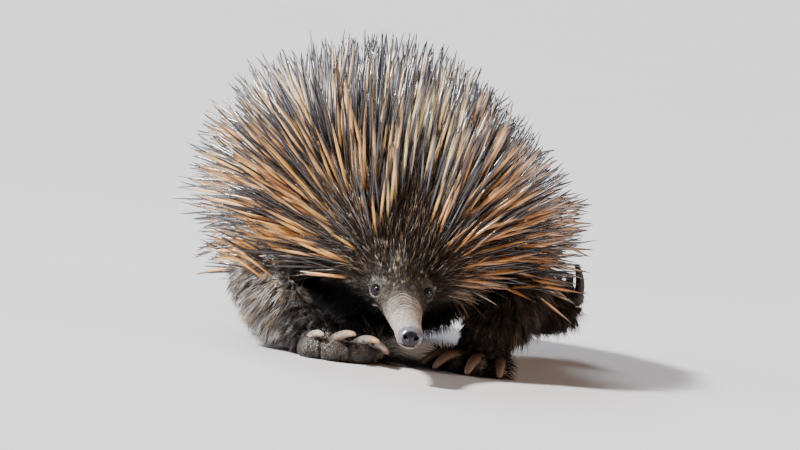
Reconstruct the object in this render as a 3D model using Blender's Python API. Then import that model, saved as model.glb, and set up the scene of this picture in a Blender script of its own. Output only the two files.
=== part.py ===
"""A life-size short-beaked echidna in mid stride, as a museum would show it.

Metres, +Z up. The animal faces -Y, its left side is +X, and it stands on the plane Z = 0.
One spline of stations runs from the nose to the tail, and the beak, head, torso and tail are
slices of that one loft. Limbs are tubes along their own short splines.
"""

import math
import random

import bpy
import bmesh
from mathutils import Matrix, Vector

MM = 0.001

SEED = 41
GAP = 0.35 * MM  # clearance between neighbouring nodes
SHIFT = Vector((19.7, -7.8, 0.0)) * MM  # brings the middle of the whole animal's footprint to the origin

# The body's axis from the nose to the tail. Each station is x, y, z of the centre, then half width,
# reach above and reach below the centre, all in millimetres, then the roll in degrees.
BODY = [
    (0.9, -191.6, 26.2, 3.2, 2.8, 3.0, 0),
    (0.6, -188.8, 27.0, 6.7, 6.0, 6.4, 0),
    (-0.2, -183.0, 28.6, 8.0, 7.2, 7.5, 0),
    (-2.0, -170.0, 32.2, 8.3, 7.5, 7.9, 0),
    (-4.6, -152.0, 37.3, 10.4, 9.2, 9.6, 0),
    (-6.6, -135.0, 42.6, 13.6, 11.8, 12.0, 0),
    (-7.7, -121.0, 48.4, 20.5, 15.0, 15.6, 0),
    (-9.0, -104.0, 55.0, 31.0, 24.5, 21.5, 0),
    (-11.0, -84.0, 62.0, 43.0, 35.0, 29.0, 2),
    (-14.0, -58.0, 71.5, 61.0, 48.0, 46.5, 5),
    (-17.0, -26.0, 81.0, 78.0, 60.0, 62.5, 8),
    (-19.5, 10.0, 87.0, 88.0, 67.0, 69.5, 9),
    (-21.0, 50.0, 88.0, 91.0, 68.0, 70.0, 9),
    (-22.0, 88.0, 85.0, 83.0, 63.0, 57.0, 9),
    (-22.0, 120.0, 78.0, 65.0, 52.0, 42.0, 7),
    (-22.0, 143.0, 70.0, 43.0, 37.0, 31.0, 5),
    (-22.0, 158.0, 62.0, 23.0, 20.0, 18.0, 3),
    (-22.0, 172.0, 54.0, 13.5, 12.0, 11.0, 0),
    (-22.0, 185.0, 45.0, 5.0, 4.5, 4.0, 0),
]
BEAK_BASE = 5.0  # station numbers at which the loft is parted
NECK = 7.22
TAIL_ROOT = 16.0
LAST = len(BODY) - 1.0

EYE_STATION = 6.0
EYE_RADIUS = 4.4 * MM
EYE_OUT = 13.2 * MM  # from the head's axis to each eye's centre
EYE_UPS = {1: 0.8 * MM, -1: -1.4 * MM}  # the head is tipped a little to one side
EYE_FORWARD = 3.6 * MM
EYE_LOOK = (0.70, 0.70, 0.14)  # outwards, forwards, upwards
LID = 1.5 * MM  # how far the lids stand proud of the eyeball
LID_OPENING = 3.4 * MM

EAR_STATION = 6.86
EAR_ANGLE = 24.0  # degrees above the widest line of the head
EAR_HALF = Vector((3.0, 2.4, 6.6)) * MM  # out, fore and aft, up
EAR_SLIT = Vector((3.4, 1.9, 9.0)) * MM

NOSTRIL_RADIUS = 1.5 * MM
NOSTRIL_SPACING = 2.9 * MM
MOUTH_HEIGHT = 0.8 * MM
MOUTH_DEPTH = 13.0 * MM

# Limbs: x, y, z of each station and the radius there, from the trunk to the wrist or ankle.
LIMBS = {
    "foreleg_right": [
        (-50, -30, 66, 28), (-78, -42, 53, 27), (-90, -54, 41, 24), (-81, -68, 27, 20), (-66, -79, 18.5, 15.5),
    ],
    "foreleg_left": [
        (28, -30, 62, 26), (53, -34, 54, 24), (57, -42, 42, 20.5), (51, -50, 31, 17.5), (46, -56, 22, 16),
    ],
    "hindleg_right": [
        (-56, 96, 70, 28), (-80, 84, 52, 27), (-78, 84, 37, 22), (-57, 97, 27, 16.5), (-40, 104, 21, 13.5),
    ],
    "hindleg_left": [
        (14, 90, 70, 30), (44, 88, 60, 26), (61, 92, 50, 21), (71, 99, 36.5, 16.5), (82, 106, 29.5, 14.0),
    ],
}

# Feet: the palm's centre and its halves along, across and up, the way up from the sole, the toes' radius, the
# claws' half width and half height, then the end of each toe and the tip of its claw, from the inner digit to
# the outer one, and how far the claw arches. Millimetres.
FEET = {
    "forefoot_right": {
        "palm": (-49, -84, 9.5), "halves": (14, 18, 10.5), "along": (0.35, -0.94, 0), "up": (0, 0, 1),
        "toe": 7.0, "claw": (3.1, 2.6),
        "digits": [
            ((-24, -79, 6.0), (-13, -79, 6.0), 0.10), ((-20, -92, 6.3), (-11, -105, 8.5), 0.12),
            ((-29, -100, 7.0), (-17, -114, 15.5), 0.12), ((-43.5, -104, 7.0), (-31.5, -116, 18.5), 0.12),
            ((-57.5, -100, 6.8), (-50.5, -112, 15.5), 0.14),
        ],
    },
    "forefoot_left": {
        "palm": (45, -62, 9.5), "halves": (14, 17, 10.5), "along": (-0.35, -0.94, 0), "up": (0, 0, 1),
        "toe": 6.8, "claw": (3.2, 2.4),
        "digits": [
            ((27, -56, 6.0), (14, -57, 2.2), 0.12), ((23.5, -68, 6.3), (9.5, -76, 2.2), 0.16),
            ((30, -78, 6.8), (17, -92, 2.0), 0.16), ((43, -83, 7.0), (37, -99, 2.0), 0.16),
            ((56.5, -79, 6.6), (57, -93, 2.0), 0.16),
        ],
    },
    "hindfoot_right": {
        "palm": (-29, 109, 8.5), "halves": (13, 14, 9.5), "along": (-0.5, 0.87, 0), "up": (0, 0, 1),
        "toe": 5.8, "claw": (2.3, 1.9),
        "digits": [
            ((-47, 112, 5.2), (-54, 113, 3.0), 0.12), ((-47, 122, 5.6), (-71, 131, 2.5), 0.20),
            ((-40, 129, 5.6), (-52, 145, 2.2), 0.16), ((-30, 131, 5.4), (-32, 144, 2.2), 0.14),
            ((-20, 128, 5.2), (-16, 138, 2.2), 0.14),
        ],
    },
    "hindfoot_left": {
        "palm": (90, 111, 32), "halves": (13, 13.5, 9.5), "along": (0.35, 0.12, 0.93), "up": (-0.1, -0.98, 0.12),
        "toe": 5.8, "claw": (2.9, 2.3),
        "digits": [
            ((100, 112, 29.5), (108, 109, 33), 0.10), ((103.5, 113, 38.5), (100.5, 106, 61.5), 0.11),
            ((97, 114, 44), (98, 108, 54.5), 0.14), ((89, 114, 46), (90, 108, 55), 0.14),
            ((84, 116, 44.5), (84.5, 110, 52), 0.14),
        ],
    },
}

# Spines: millimetres, degrees, and station numbers along the body.
SPINE_COUNT = 400
SPINE_SPACINGS = [(7.2, 9.0), (9.0, 10.6), (16.0, 11.8)]  # station, least distance between roots
SPINE_ROOT = 8.0  # how deep each is sunk, measured along the spine
SPINE_RADIUS = 1.85
SPINE_LENGTHS = [(7.2, 34), (7.7, 43), (8.4, 49), (12.0, 52), (15.0, 50), (16.0, 42)]  # station, length
SPINE_LEANS = [(7.2, 36), (8.0, 40), (9.5, 45), (12.0, 50), (15.0, 56), (16.0, 62)]  # station, lean from upright
SPINE_LOWEST = [(7.2, -8), (8.0, -14), (9.5, -24), (12.0, -30), (15.0, -25), (16.0, -10)]  # station, angle
SPINE_FLAT_ANGLE, SPINE_FLAT_SPREAD = 50.0, 35.0  # on the upper left of the trunk the spines lie flatter
SPINE_FLAT_LEAN, SPINE_FLAT_SHORTER = 15.0, 0.16  # by so many degrees, and shorter by this share
SPINE_UPRIGHT = 0.55  # over the front of the back, this share of their sideways splay is taken away
SPINE_LOWER_ON_RIGHT = 10.0  # the trunk is rolled, so the spines start further round on this side
SPINE_CLEARANCE = 0.6
SPINE_SOLVER = "EXACT"

SINK = 1.1 * MM  # how far the toes of a planted foot are pressed flat

COLOURS = {  # red, green, blue, roughness
    "coat": (0.060, 0.042, 0.032, 0.85),
    "beak_skin": (0.300, 0.262, 0.240, 0.55),
    "eye": (0.010, 0.011, 0.014, 0.08),
    "claw": (0.300, 0.215, 0.150, 0.40),
    "foot_skin": (0.110, 0.084, 0.068, 0.70),
}


def clear_scene():
    for thing in list(bpy.data.objects):
        bpy.data.objects.remove(thing, do_unlink=True)


def material(name):
    """The named finish, made once."""
    found = bpy.data.materials.get(name)
    if found:
        return found
    red, green, blue, roughness = COLOURS[name]
    made = bpy.data.materials.new(name)
    made.use_nodes = True
    shader = made.node_tree.nodes["Principled BSDF"]
    shader.inputs["Base Color"].default_value = (red, green, blue, 1.0)
    shader.inputs["Roughness"].default_value = roughness
    shader.inputs["Metallic"].default_value = 0.0
    return made


def spline(rows, at):
    """Every column of a table of stations at a fractional station number, by a Catmull-Rom curve."""
    last = len(rows) - 1
    at = min(max(at, 0.0), float(last))
    low = min(int(at), last - 1)
    t = at - low
    before, start, end, after = (rows[min(max(low + k, 0), last)] for k in (-1, 0, 1, 2))
    return [
        0.5 * (2 * b + (c - a) * t + (2 * a - 5 * b + 4 * c - d) * t * t + (3 * b - a - 3 * c + d) * t ** 3)
        for a, b, c, d in zip(before, start, end, after)
    ]


def body_frame(at):
    """Centre, side, up and the three reaches of the body at a station, with side towards the animal's left."""
    x, y, z, width, above, below, roll = spline(BODY, at)
    step = 0.02
    back = Vector(spline(BODY, at + step)[:3]) - Vector(spline(BODY, at - step)[:3])
    back.normalize()
    side = back.cross(Vector((0, 0, 1))).normalized()
    up = side.cross(back).normalized()
    turn = Matrix.Rotation(math.radians(roll), 3, back)
    return Vector((x, y, z)) * MM, turn @ side, turn @ up, width * MM, above * MM, below * MM


def body_point(at, angle, grow=0.0):
    """A point of the body's surface. The angle is in radians, 0 at the animal's left and a quarter turn at the top."""
    centre, side, up, width, above, below = body_frame(at)
    rise = math.sin(angle)
    return (
        centre
        + side * math.cos(angle) * (width + grow)
        + up * rise * ((above if rise > 0 else below) + grow)
        + SHIFT
    )


def mesh_object(name, points, faces, finish=None):
    mesh = bpy.data.meshes.new(name)
    mesh.from_pydata([tuple(p) for p in points], [], faces)
    work = bmesh.new()
    work.from_mesh(mesh)
    bmesh.ops.recalc_face_normals(work, faces=work.faces)
    work.to_mesh(mesh)
    work.free()
    if finish:
        mesh.materials.append(material(finish))
    made = bpy.data.objects.new(name, mesh)
    bpy.context.scene.collection.objects.link(made)
    return made


def loft(name, rings, finish=None):
    """A closed body through rings of points that all have the same count."""
    sides = len(rings[0])
    points = [p for ring in rings for p in ring]
    faces = []
    for a in range(len(rings) - 1):
        for k in range(sides):
            near, far = a * sides, (a + 1) * sides
            after = (k + 1) % sides
            faces.append((near + k, near + after, far + after))
            faces.append((near + k, far + after, far + k))
    faces.append(tuple(range(sides))[::-1])
    faces.append(tuple((len(rings) - 1) * sides + k for k in range(sides)))
    return mesh_object(name, points, faces, finish)


def body_slice(name, start, end, rings, sides, finish=None, grow=0.0):
    """The stretch of the body between two stations as a closed loft with flat ends."""
    stations = [start + (end - start) * k / (rings - 1) for k in range(rings)]
    return loft(
        name,
        [[body_point(at, math.tau * k / sides, grow) for k in range(sides)] for at in stations],
        finish,
    )


def station_after(at, distance):
    """The station number that lies a distance in metres further along the body's axis."""
    step = 0.01
    speed = (Vector(spline(BODY, at + step)[:3]) - Vector(spline(BODY, at - step)[:3])).length * MM / (2 * step)
    return at + distance / speed


def across(direction, up):
    """Two unit vectors across a direction: sideways, and the one nearest to up."""
    forward = direction.normalized()
    sideways = forward.cross(up).normalized()
    return sideways, sideways.cross(forward).normalized()


def tube(name, centres, halves, sides, up=(0, 0, 1), finish=None):
    """A closed tube along centres, with a half width and a half height at each of them."""
    up = Vector(up)
    rings = []
    for k, centre in enumerate(centres):
        ahead = centres[min(k + 1, len(centres) - 1)] - centres[max(k - 1, 0)]
        sideways, upward = across(ahead, up)
        wide, high = halves[k]
        rings.append([
            centre
            + sideways * wide * math.cos(math.tau * (j + 0.5) / sides)
            + upward * high * math.sin(math.tau * (j + 0.5) / sides)
            for j in range(sides)
        ])
    return loft(name, rings, finish)


def ellipsoid(name, centre, halves, turn=None, segments=12, rings=8, finish=None):
    work = bmesh.new()
    bmesh.ops.create_uvsphere(work, u_segments=segments, v_segments=rings, radius=1.0)
    mesh = bpy.data.meshes.new(name)
    work.to_mesh(mesh)
    work.free()
    turn = turn or Matrix.Identity(3)
    mesh.transform(Matrix.Translation(centre) @ turn.to_4x4() @ Matrix.Diagonal((*halves, 1.0)))
    if finish:
        mesh.materials.append(material(finish))
    made = bpy.data.objects.new(name, mesh)
    bpy.context.scene.collection.objects.link(made)
    return made


def combine(target, others, operation):
    """Joins the others to the target, or cuts them from it, one after another. Only the largest body is kept."""
    finishes = list(target.data.materials)
    for other in others:
        change = target.modifiers.new(operation, "BOOLEAN")
        change.object = other
        change.operation = operation
        change.solver = "EXACT"
        bpy.context.view_layer.update()
        result = bpy.data.meshes.new_from_object(target.evaluated_get(bpy.context.evaluated_depsgraph_get()))
        target.modifiers.clear()
        target.data = result
        bpy.data.objects.remove(other, do_unlink=True)
    target.data.materials.clear()
    for finish in finishes:
        target.data.materials.append(finish)
    for face in target.data.polygons:
        face.material_index = 0
    keep_largest(target)
    return target


def keep_largest(target):
    """Drops every closed surface of the mesh but the one that holds the most."""
    work = bmesh.new()
    work.from_mesh(target.data)
    left, groups = set(work.verts), []
    while left:
        group, edge = set(), [left.pop()]
        while edge:
            vertex = edge.pop()
            group.add(vertex)
            near = {e.other_vert(vertex) for e in vertex.link_edges} & left
            left -= near
            edge.extend(near)
        groups.append(group)
    groups.sort(key=held)
    for group in groups[:-1]:
        bmesh.ops.delete(work, geom=list(group), context="VERTS")
    work.to_mesh(target.data)
    work.free()


def held(group):
    """The volume inside a closed surface, times six."""
    total = 0.0
    for face in {f for v in group for f in v.link_faces}:
        first = face.verts[0].co
        for a, b in zip(face.verts[1:-1], face.verts[2:]):
            total += first.dot(a.co.cross(b.co))
    return total


def smooth(target, degrees=45):
    target.data.shade_smooth()
    target.data.set_sharp_from_angle(angle=math.radians(degrees))
    return target


def hull(name, balls, segments=10, rings=6, finish=None):
    """The convex body round some balls. Each ball is a centre, its three halves and its turn or None."""
    work = bmesh.new()
    for centre, halves, turn in balls:
        made = bmesh.ops.create_uvsphere(work, u_segments=segments, v_segments=rings, radius=1.0)
        place = Matrix.Translation(centre) @ (turn or Matrix.Identity(3)).to_4x4() @ Matrix.Diagonal((*halves, 1.0))
        bmesh.ops.transform(work, matrix=place, verts=made["verts"])
    bmesh.ops.delete(work, geom=list(work.edges), context="EDGES_FACES")
    bmesh.ops.convex_hull(work, input=work.verts, use_existing_faces=False)
    inner = [v for v in work.verts if not v.link_faces]
    bmesh.ops.delete(work, geom=inner, context="VERTS")
    loose = [e for e in work.edges if not e.link_faces]
    bmesh.ops.delete(work, geom=loose, context="EDGES")
    bmesh.ops.recalc_face_normals(work, faces=work.faces)
    mesh = bpy.data.meshes.new(name)
    work.to_mesh(mesh)
    work.free()
    if finish:
        mesh.materials.append(material(finish))
    made = bpy.data.objects.new(name, mesh)
    bpy.context.scene.collection.objects.link(made)
    return made


def chain(name, balls, grow=0.0, segments=10, rings=6):
    """A hull round each pair of neighbouring balls, as separate bodies. Each starts a little inside the one before."""
    pieces = []
    for k in range(len(balls) - 1):
        inset = 0.96 if k else 1.0
        (centre, halves, turn), (next_centre, next_halves, next_turn) = balls[k:k + 2]
        pieces.append(hull(
            f"{name}_{k}",
            [
                (centre, [h * inset + grow for h in halves], turn),
                (next_centre, [h + grow for h in next_halves], next_turn),
            ],
            segments,
            rings,
        ))
    return pieces


def limb_balls(name):
    return [(Vector(row[:3]) * MM + SHIFT, [row[3] * MM] * 3, None) for row in LIMBS[name]]


def core(name, grow):
    """The torso's own form between the neck and the tail, used for the node and for cutting the limbs."""
    return body_slice(name, NECK, TAIL_ROOT, 18, 22, "coat" if grow == 0 else None, grow)


def build_limb(name):
    """The furred limb from the trunk down to the ankle, cut clear of the trunk, the head and its own foot."""
    pieces = chain(name, limb_balls(name), segments=8, rings=6)
    limb = pieces[0]
    limb.name = name
    limb.data.materials.append(material("coat"))
    combine(limb, pieces[1:], "UNION")
    cutters = [core("trunk_cut", GAP)]
    if name.startswith("foreleg"):
        cutters.append(body_slice("neck_cut", EYE_STATION, NECK + 0.05, 6, 22, None, GAP))
    cutters.extend(foot_pieces(name.replace("leg", "foot"), GAP))
    return smooth(combine(limb, cutters, "DIFFERENCE"))


def point(row):
    return Vector(row) * MM + SHIFT


def claw_path(name, digit, steps=4):
    """Centres of a claw from its root inside the toe to its tip, and the half width and half height at each."""
    foot = FEET[name]
    toe_end, tip, arch = foot["digits"][digit]
    up = Vector(foot["up"]).normalized()
    toe_end, tip = point(toe_end), point(tip)
    reach = tip - toe_end
    root = toe_end + up * foot["toe"] * MM * 0.42 - reach.normalized() * foot["toe"] * MM * 0.45
    bow = reach.cross(up).cross(reach).normalized() * reach.length * arch
    if name == "hindfoot_left":
        bow = Vector((1, 0, 0)) * reach.length * arch * (1 if digit == 1 else 0.3)
    middle = (root + tip) / 2 + bow * 2
    thin = 0.85 if digit in (0, 4) else 1.0
    centres, halves = [], []
    for k in range(steps):
        t = k / (steps - 1)
        centres.append(root * (1 - t) ** 2 + middle * 2 * t * (1 - t) + tip * t * t)
        taper = (1.0 - 0.74 * t ** 2.4) * thin * MM
        halves.append((foot["claw"][0] * taper, foot["claw"][1] * taper))
    return centres, halves


def build_claws(name):
    for digit in range(5):
        centres, halves = claw_path(name, digit)
        smooth(tube(f"{name}_claw_{digit + 1}", centres, halves, 6, up=FEET[name]["up"], finish="claw"), 50)


def claw_sockets(name):
    cutters = []
    for digit in range(5):
        centres, halves = claw_path(name, digit)
        first = centres[0] - (centres[1] - centres[0]).normalized() * GAP
        grown = [(wide + GAP * 1.2, high + GAP * 1.2) for wide, high in halves]
        cutters.append(tube("socket", [first] + centres[1:], grown, 6, up=FEET[name]["up"]))
    return cutters


def foot_pieces(name, grow=0.0):
    """Palm and toes as overlapping convex bodies."""
    foot = FEET[name]
    palm = point(foot["palm"])
    along = Vector(foot["along"]).normalized()
    sideways, up = across(along, Vector(foot["up"]))
    turn = Matrix((along, sideways, up)).transposed()
    ankle, ankle_halves, _ = limb_balls(name.replace("foot", "leg"))[-1]
    halves = [h * MM for h in foot["halves"]]
    pieces = chain(name + "_palm", [(ankle, [h * 0.97 for h in ankle_halves], None), (palm, halves, turn)], grow, 10, 6)
    for digit, (toe_end, _, _) in enumerate(foot["digits"]):
        radius = foot["toe"] * MM * (0.88 if digit in (0, 4) else 1.0)
        end = point(toe_end)
        if palm.z < 20 * MM:
            end.z = radius - SINK * (0.8 + 0.13 * digit)
        spin = Matrix.Rotation(0.31 + 0.47 * digit, 3, Vector((0.25, 0.15, 1.0)))  # keeps facets of neighbours apart
        begin = palm.lerp(end, 0.25)
        begin += up * (end - begin).dot(up)
        pieces.append(hull(
            f"{name}_toe_{digit}",
            [(begin, [radius * 0.9 + grow] * 3, spin), (end, [radius + grow] * 3, spin)],
            7, 4,
        ))
    return pieces


def build_foot(name):
    """Palm and toes as one body, cut flat at the floor, with a socket for each claw."""
    palm = point(FEET[name]["palm"])
    pieces = foot_pieces(name)
    foot = pieces[0]
    foot.name = name
    foot.data.materials.append(material("foot_skin"))
    combine(foot, pieces[1:], "UNION")
    if palm.z < 20 * MM:
        combine(foot, [box("floor_cut", (palm.x, palm.y, -0.025), (0.2, 0.2, 0.05))], "DIFFERENCE")
    combine(foot, claw_sockets(name), "DIFFERENCE")
    return smooth(foot)


def box(name, centre, size):
    work = bmesh.new()
    bmesh.ops.create_cube(work, size=1.0)
    mesh = bpy.data.meshes.new(name)
    work.to_mesh(mesh)
    work.free()
    mesh.transform(Matrix.Translation(centre) @ Matrix.Diagonal((*size, 1)))
    made = bpy.data.objects.new(name, mesh)
    bpy.context.scene.collection.objects.link(made)
    return made


def eye_centre(sign):
    """The centre of an eye. The sign is 1 on the animal's left and -1 on its right."""
    centre, side, up, *_ = body_frame(EYE_STATION)
    return centre + SHIFT + side * sign * EYE_OUT + up * EYE_UPS[sign] + Vector((0, -1, 0)) * EYE_FORWARD


def ear_place(sign):
    """Centre and turn of an ear, with its local X along the head's outward normal."""
    angle = math.radians(EAR_ANGLE)
    angle = angle if sign > 0 else math.pi - angle
    here = body_point(EAR_STATION, angle)
    along = (body_point(EAR_STATION + 0.05, angle) - body_point(EAR_STATION - 0.05, angle)).normalized()
    around = (body_point(EAR_STATION, angle + 0.05) - body_point(EAR_STATION, angle - 0.05)).normalized()
    out = along.cross(around).normalized()
    centre = body_frame(EAR_STATION)[0] + SHIFT
    if out.dot(here - centre) < 0:
        out = -out
    along = (along - out * along.dot(out)).normalized()
    turn = Matrix((out, along, out.cross(along))).transposed()
    return here, turn


def build_head():
    head = body_slice("head", BEAK_BASE, station_after(NECK, -GAP), 10, 20, "coat")
    lids = [
        ellipsoid("lid", eye_centre(s), [EYE_RADIUS + LID] * 3, segments=12, rings=8) for s in (1, -1)
    ]
    combine(head, lids, "UNION")
    cutters = []
    for sign in (1, -1):
        centre = eye_centre(sign)
        cutters.append(ellipsoid("orbit", centre, [EYE_RADIUS + GAP * 1.5] * 3, segments=12, rings=8))
        look = eye_look(sign)
        turn = look.to_track_quat("X", "Z").to_matrix()
        cutters.append(ellipsoid(
            "opening", centre + look * EYE_RADIUS * 1.6,
            (EYE_RADIUS * 1.25, LID_OPENING, LID_OPENING * 0.88), turn, segments=12, rings=8,
        ))
    combine(head, cutters, "DIFFERENCE")
    return smooth(head)


def eye_look(sign):
    """The way an eye faces: outwards, forwards and a little up."""
    _, side, up, *_ = body_frame(EYE_STATION)
    out, forward, rise = EYE_LOOK
    return (side * sign * out + Vector((0, -1, 0)) * forward + up * rise).normalized()


def build_eyes():
    for sign, name in ((1, "eye_left"), (-1, "eye_right")):
        smooth(ellipsoid(name, eye_centre(sign), [EYE_RADIUS] * 3, segments=12, rings=8, finish="eye"), 80)


def build_ears():
    for sign, name in ((1, "ear_left"), (-1, "ear_right")):
        centre, turn = ear_place(sign)
        ear = ellipsoid(name, centre, EAR_HALF, turn, segments=14, rings=8, finish="coat")
        slit = ellipsoid("slit", centre + turn @ Vector((EAR_HALF.x, 0, 0)), EAR_SLIT * 0.5, turn, segments=8, rings=6)
        head_cut = body_slice("head_cut", BEAK_BASE, station_after(NECK, -GAP), 10, 20, None, GAP)
        smooth(combine(ear, [slit, head_cut], "DIFFERENCE"))


def build_beak():
    beak = body_slice("beak", 0.0, station_after(BEAK_BASE, -GAP), 14, 16, "beak_skin")
    centre, side, up, *_ = body_frame(0.6)
    centre = centre + SHIFT
    forward = (body_frame(0.0)[0] - body_frame(2.0)[0]).normalized()
    cutters = [
        ellipsoid(
            "nostril", centre + side * s * NOSTRIL_SPACING + up * 2.4 * MM + forward * 2.6 * MM,
            (NOSTRIL_RADIUS, NOSTRIL_RADIUS * 1.9, NOSTRIL_RADIUS), None, segments=10, rings=6,
        )
        for s in (1, -1)
    ]
    mouth_centre = centre - up * 3.6 * MM
    turn = Matrix((side, -forward, up)).transposed()
    cutters.append(ellipsoid(
        "mouth", mouth_centre - forward * 1.0 * MM, (9.5 * MM, MOUTH_DEPTH, MOUTH_HEIGHT * 0.5), turn, segments=16, rings=4,
    ))
    combine(beak, cutters, "DIFFERENCE")
    return smooth(beak)


def ramp(table, at):
    """A value read between the rows of a short table."""
    for (a, low), (b, high) in zip(table, table[1:]):
        if at <= b:
            return low + (high - low) * max(at - a, 0.0) / (b - a)
    return table[-1][1]


def surface_frame(at, angle):
    """A point of the trunk's surface with its outward normal and the way along it towards the tail."""
    here = body_point(at, angle)
    along = (body_point(at + 0.05, angle) - body_point(at - 0.05, angle)).normalized()
    around = body_point(at, angle + 0.03) - body_point(at, angle - 0.03)
    return here, around.cross(along).normalized() * -1.0, along


def obstacles():
    """Round-ended rods that fill the limbs, feet, claws and tail, as two ends with their radii."""
    rods = []
    for name in LIMBS:
        balls = limb_balls(name)
        rods += [(a[0], a[1][0], b[0], b[1][0]) for a, b in zip(balls, balls[1:])]
        foot = FEET[name.replace("leg", "foot")]
        palm = point(foot["palm"])
        wide = max(foot["halves"]) * MM
        rods.append((balls[-1][0], balls[-1][1][0], palm, wide))
        for toe_end, tip, _ in foot["digits"]:
            rods.append((palm, foot["toe"] * MM, point(toe_end), foot["toe"] * MM))
            rods.append((point(toe_end), foot["toe"] * MM, point(tip), 4 * MM))
    stations = [TAIL_ROOT + k * 0.5 for k in range(int((LAST - TAIL_ROOT) * 2) + 1)]
    for a, b in zip(stations, stations[1:]):
        (ca, *_, wa, _, _), (cb, *_, wb, _, _) = body_frame(a), body_frame(b)
        rods.append((ca + SHIFT, wa, cb + SHIFT, wb))
    return rods


def rod_distance(p, rod):
    a, ra, b, rb = rod
    t = min(max((p - a).dot(b - a) / (b - a).length_squared, 0.0), 1.0)
    return (p - a.lerp(b, t)).length - (ra + (rb - ra) * t)


def between_lines(p, q, r, s):
    """The shortest distance between the stretches p to q and r to s."""
    d1, d2, w = q - p, s - r, p - r
    a, e, f, c, b = d1.length_squared, d2.length_squared, d2.dot(w), d1.dot(w), d1.dot(d2)
    denominator = a * e - b * b
    t = min(max((b * f - c * e) / denominator, 0.0), 1.0) if denominator > 1e-12 else 0.0
    u = (b * t + f) / e
    if not 0.0 <= u <= 1.0:
        u = min(max(u, 0.0), 1.0)
        t = min(max((b * u - c) / a, 0.0), 1.0)
    return (p + d1 * t - r - d2 * u).length


def spine_lines():
    """Root point, tip and the side to bow towards, for every spine, spread evenly and clear of all the rest."""
    draw = random.Random(SEED)
    rods = obstacles()
    neck_centre, neck_side, neck_up, *_ = body_frame(NECK)
    neck_centre = neck_centre + SHIFT
    neck_normal = neck_up.cross(neck_side).normalized()
    if neck_normal.y < 0:
        neck_normal = -neck_normal
    roots, lines = [], []
    for _ in range(30000):
        if len(lines) >= SPINE_COUNT:
            break
        at = draw.uniform(NECK + 0.1, TAIL_ROOT - 0.15)
        lowest = math.radians(ramp(SPINE_LOWEST, at))
        angle = draw.uniform(lowest, math.pi - lowest + math.radians(SPINE_LOWER_ON_RIGHT))
        here, normal, along = surface_frame(at, angle)
        # thin out the draw where the body is slim, so that the spread is even over the surface
        if draw.random() > (body_frame(at)[3] / (92 * MM)):
            continue
        if any((here - other).length < ramp(SPINE_SPACINGS, at) * MM for other in roots):
            continue
        side = normal.cross(along)
        flat = math.exp(-((math.degrees(angle) - SPINE_FLAT_ANGLE) / SPINE_FLAT_SPREAD) ** 2) * min(max(at - 8.5, 0.0) / 1.5, 1.0)
        upright = SPINE_UPRIGHT * ramp([(0.5, 1.0), (0.9, 0.0)], abs(math.cos(angle))) * ramp([(10.7, 1.0), (12.3, 0.0)], at)
        level = body_frame(at)[1]
        for attempt in range(7):
            lean = math.radians(ramp(SPINE_LEANS, at) + SPINE_FLAT_LEAN * flat + draw.gauss(0, 5))
            sway = math.radians(draw.gauss(0, 6))
            way = (normal * math.cos(lean) + along * math.sin(lean)) * math.cos(sway) + side * math.sin(sway)
            way -= level * (way.dot(level) * upright)
            if attempt > 2:
                way = way + Vector((0, 0.1, 0.22)) * (attempt - 2)
            way.normalize()
            length = ramp(SPINE_LENGTHS, at) * (1 - SPINE_FLAT_SHORTER * flat) * draw.uniform(0.88, 1.08) * MM
            if attempt > 4:
                length *= 0.75
            root, tip = here - way * SPINE_ROOT * MM, here + way * length
            samples = [root.lerp(tip, k / 9) for k in range(10)]
            if any((p - neck_centre).dot(neck_normal) < 2.4 * MM for p in samples):
                continue
            reach = (SPINE_RADIUS + SPINE_CLEARANCE) * MM
            free = [here.lerp(tip, k / 9) for k in range(10)]
            if any(rod_distance(p, rod) < reach for p in free for rod in rods):
                continue
            if any(between_lines(root, tip, r, t) < (2 * SPINE_RADIUS + 0.25) * MM for r, t, _ in lines):
                continue
            roots.append(here)
            lines.append((root, tip, normal))
            break
    return lines


def spine(name, root, tip, outwards):
    """One three-sided spine, thickest below its middle, with a slight bow."""
    way = (tip - root).normalized()
    sideways, upward = across(way, outwards)
    rings = []
    for t, thick in ((0.0, 0.85), (0.5, 1.0)):
        centre = root.lerp(tip, t) + upward * math.sin(math.pi * t) * 1.2 * MM
        rings.append([
            centre + (sideways * math.cos(a) + upward * math.sin(a)) * SPINE_RADIUS * thick * MM
            for a in (math.tau * (j / 3 + 0.25) for j in range(3))
        ])
    points = rings[0] + rings[1] + [tip]
    faces = [(2, 1, 0), (3, 4, 6), (4, 5, 6), (5, 3, 6)]
    for k in range(3):
        after = (k + 1) % 3
        faces += [(k, after, 3 + after), (k, 3 + after, 3 + k)]
    return mesh_object(name, points, faces)


def build_torso():
    """The trunk with all its spines, joined by one union on a collection."""
    torso = core("torso", 0.0)
    group = bpy.data.collections.new("spines")
    bpy.context.scene.collection.children.link(group)
    for k, (root, tip, outwards) in enumerate(spine_lines()):
        made = spine(f"spine_{k}", root, tip, outwards)
        group.objects.link(made)
        bpy.context.scene.collection.objects.unlink(made)
    change = torso.modifiers.new("spines", "BOOLEAN")
    change.operand_type = "COLLECTION"
    change.collection = group
    change.operation = "UNION"
    change.solver = SPINE_SOLVER
    bpy.context.view_layer.update()
    result = bpy.data.meshes.new_from_object(torso.evaluated_get(bpy.context.evaluated_depsgraph_get()))
    torso.modifiers.clear()
    torso.data = result
    for made in list(group.objects):
        bpy.data.objects.remove(made, do_unlink=True)
    bpy.data.collections.remove(group)
    keep_largest(torso)
    torso.data.materials.clear()
    torso.data.materials.append(material("coat"))
    for face in torso.data.polygons:
        face.material_index = 0
    return smooth(torso)


def build_tail():
    return smooth(body_slice("tail", station_after(TAIL_ROOT, GAP), LAST, 7, 14, "coat"))


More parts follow.
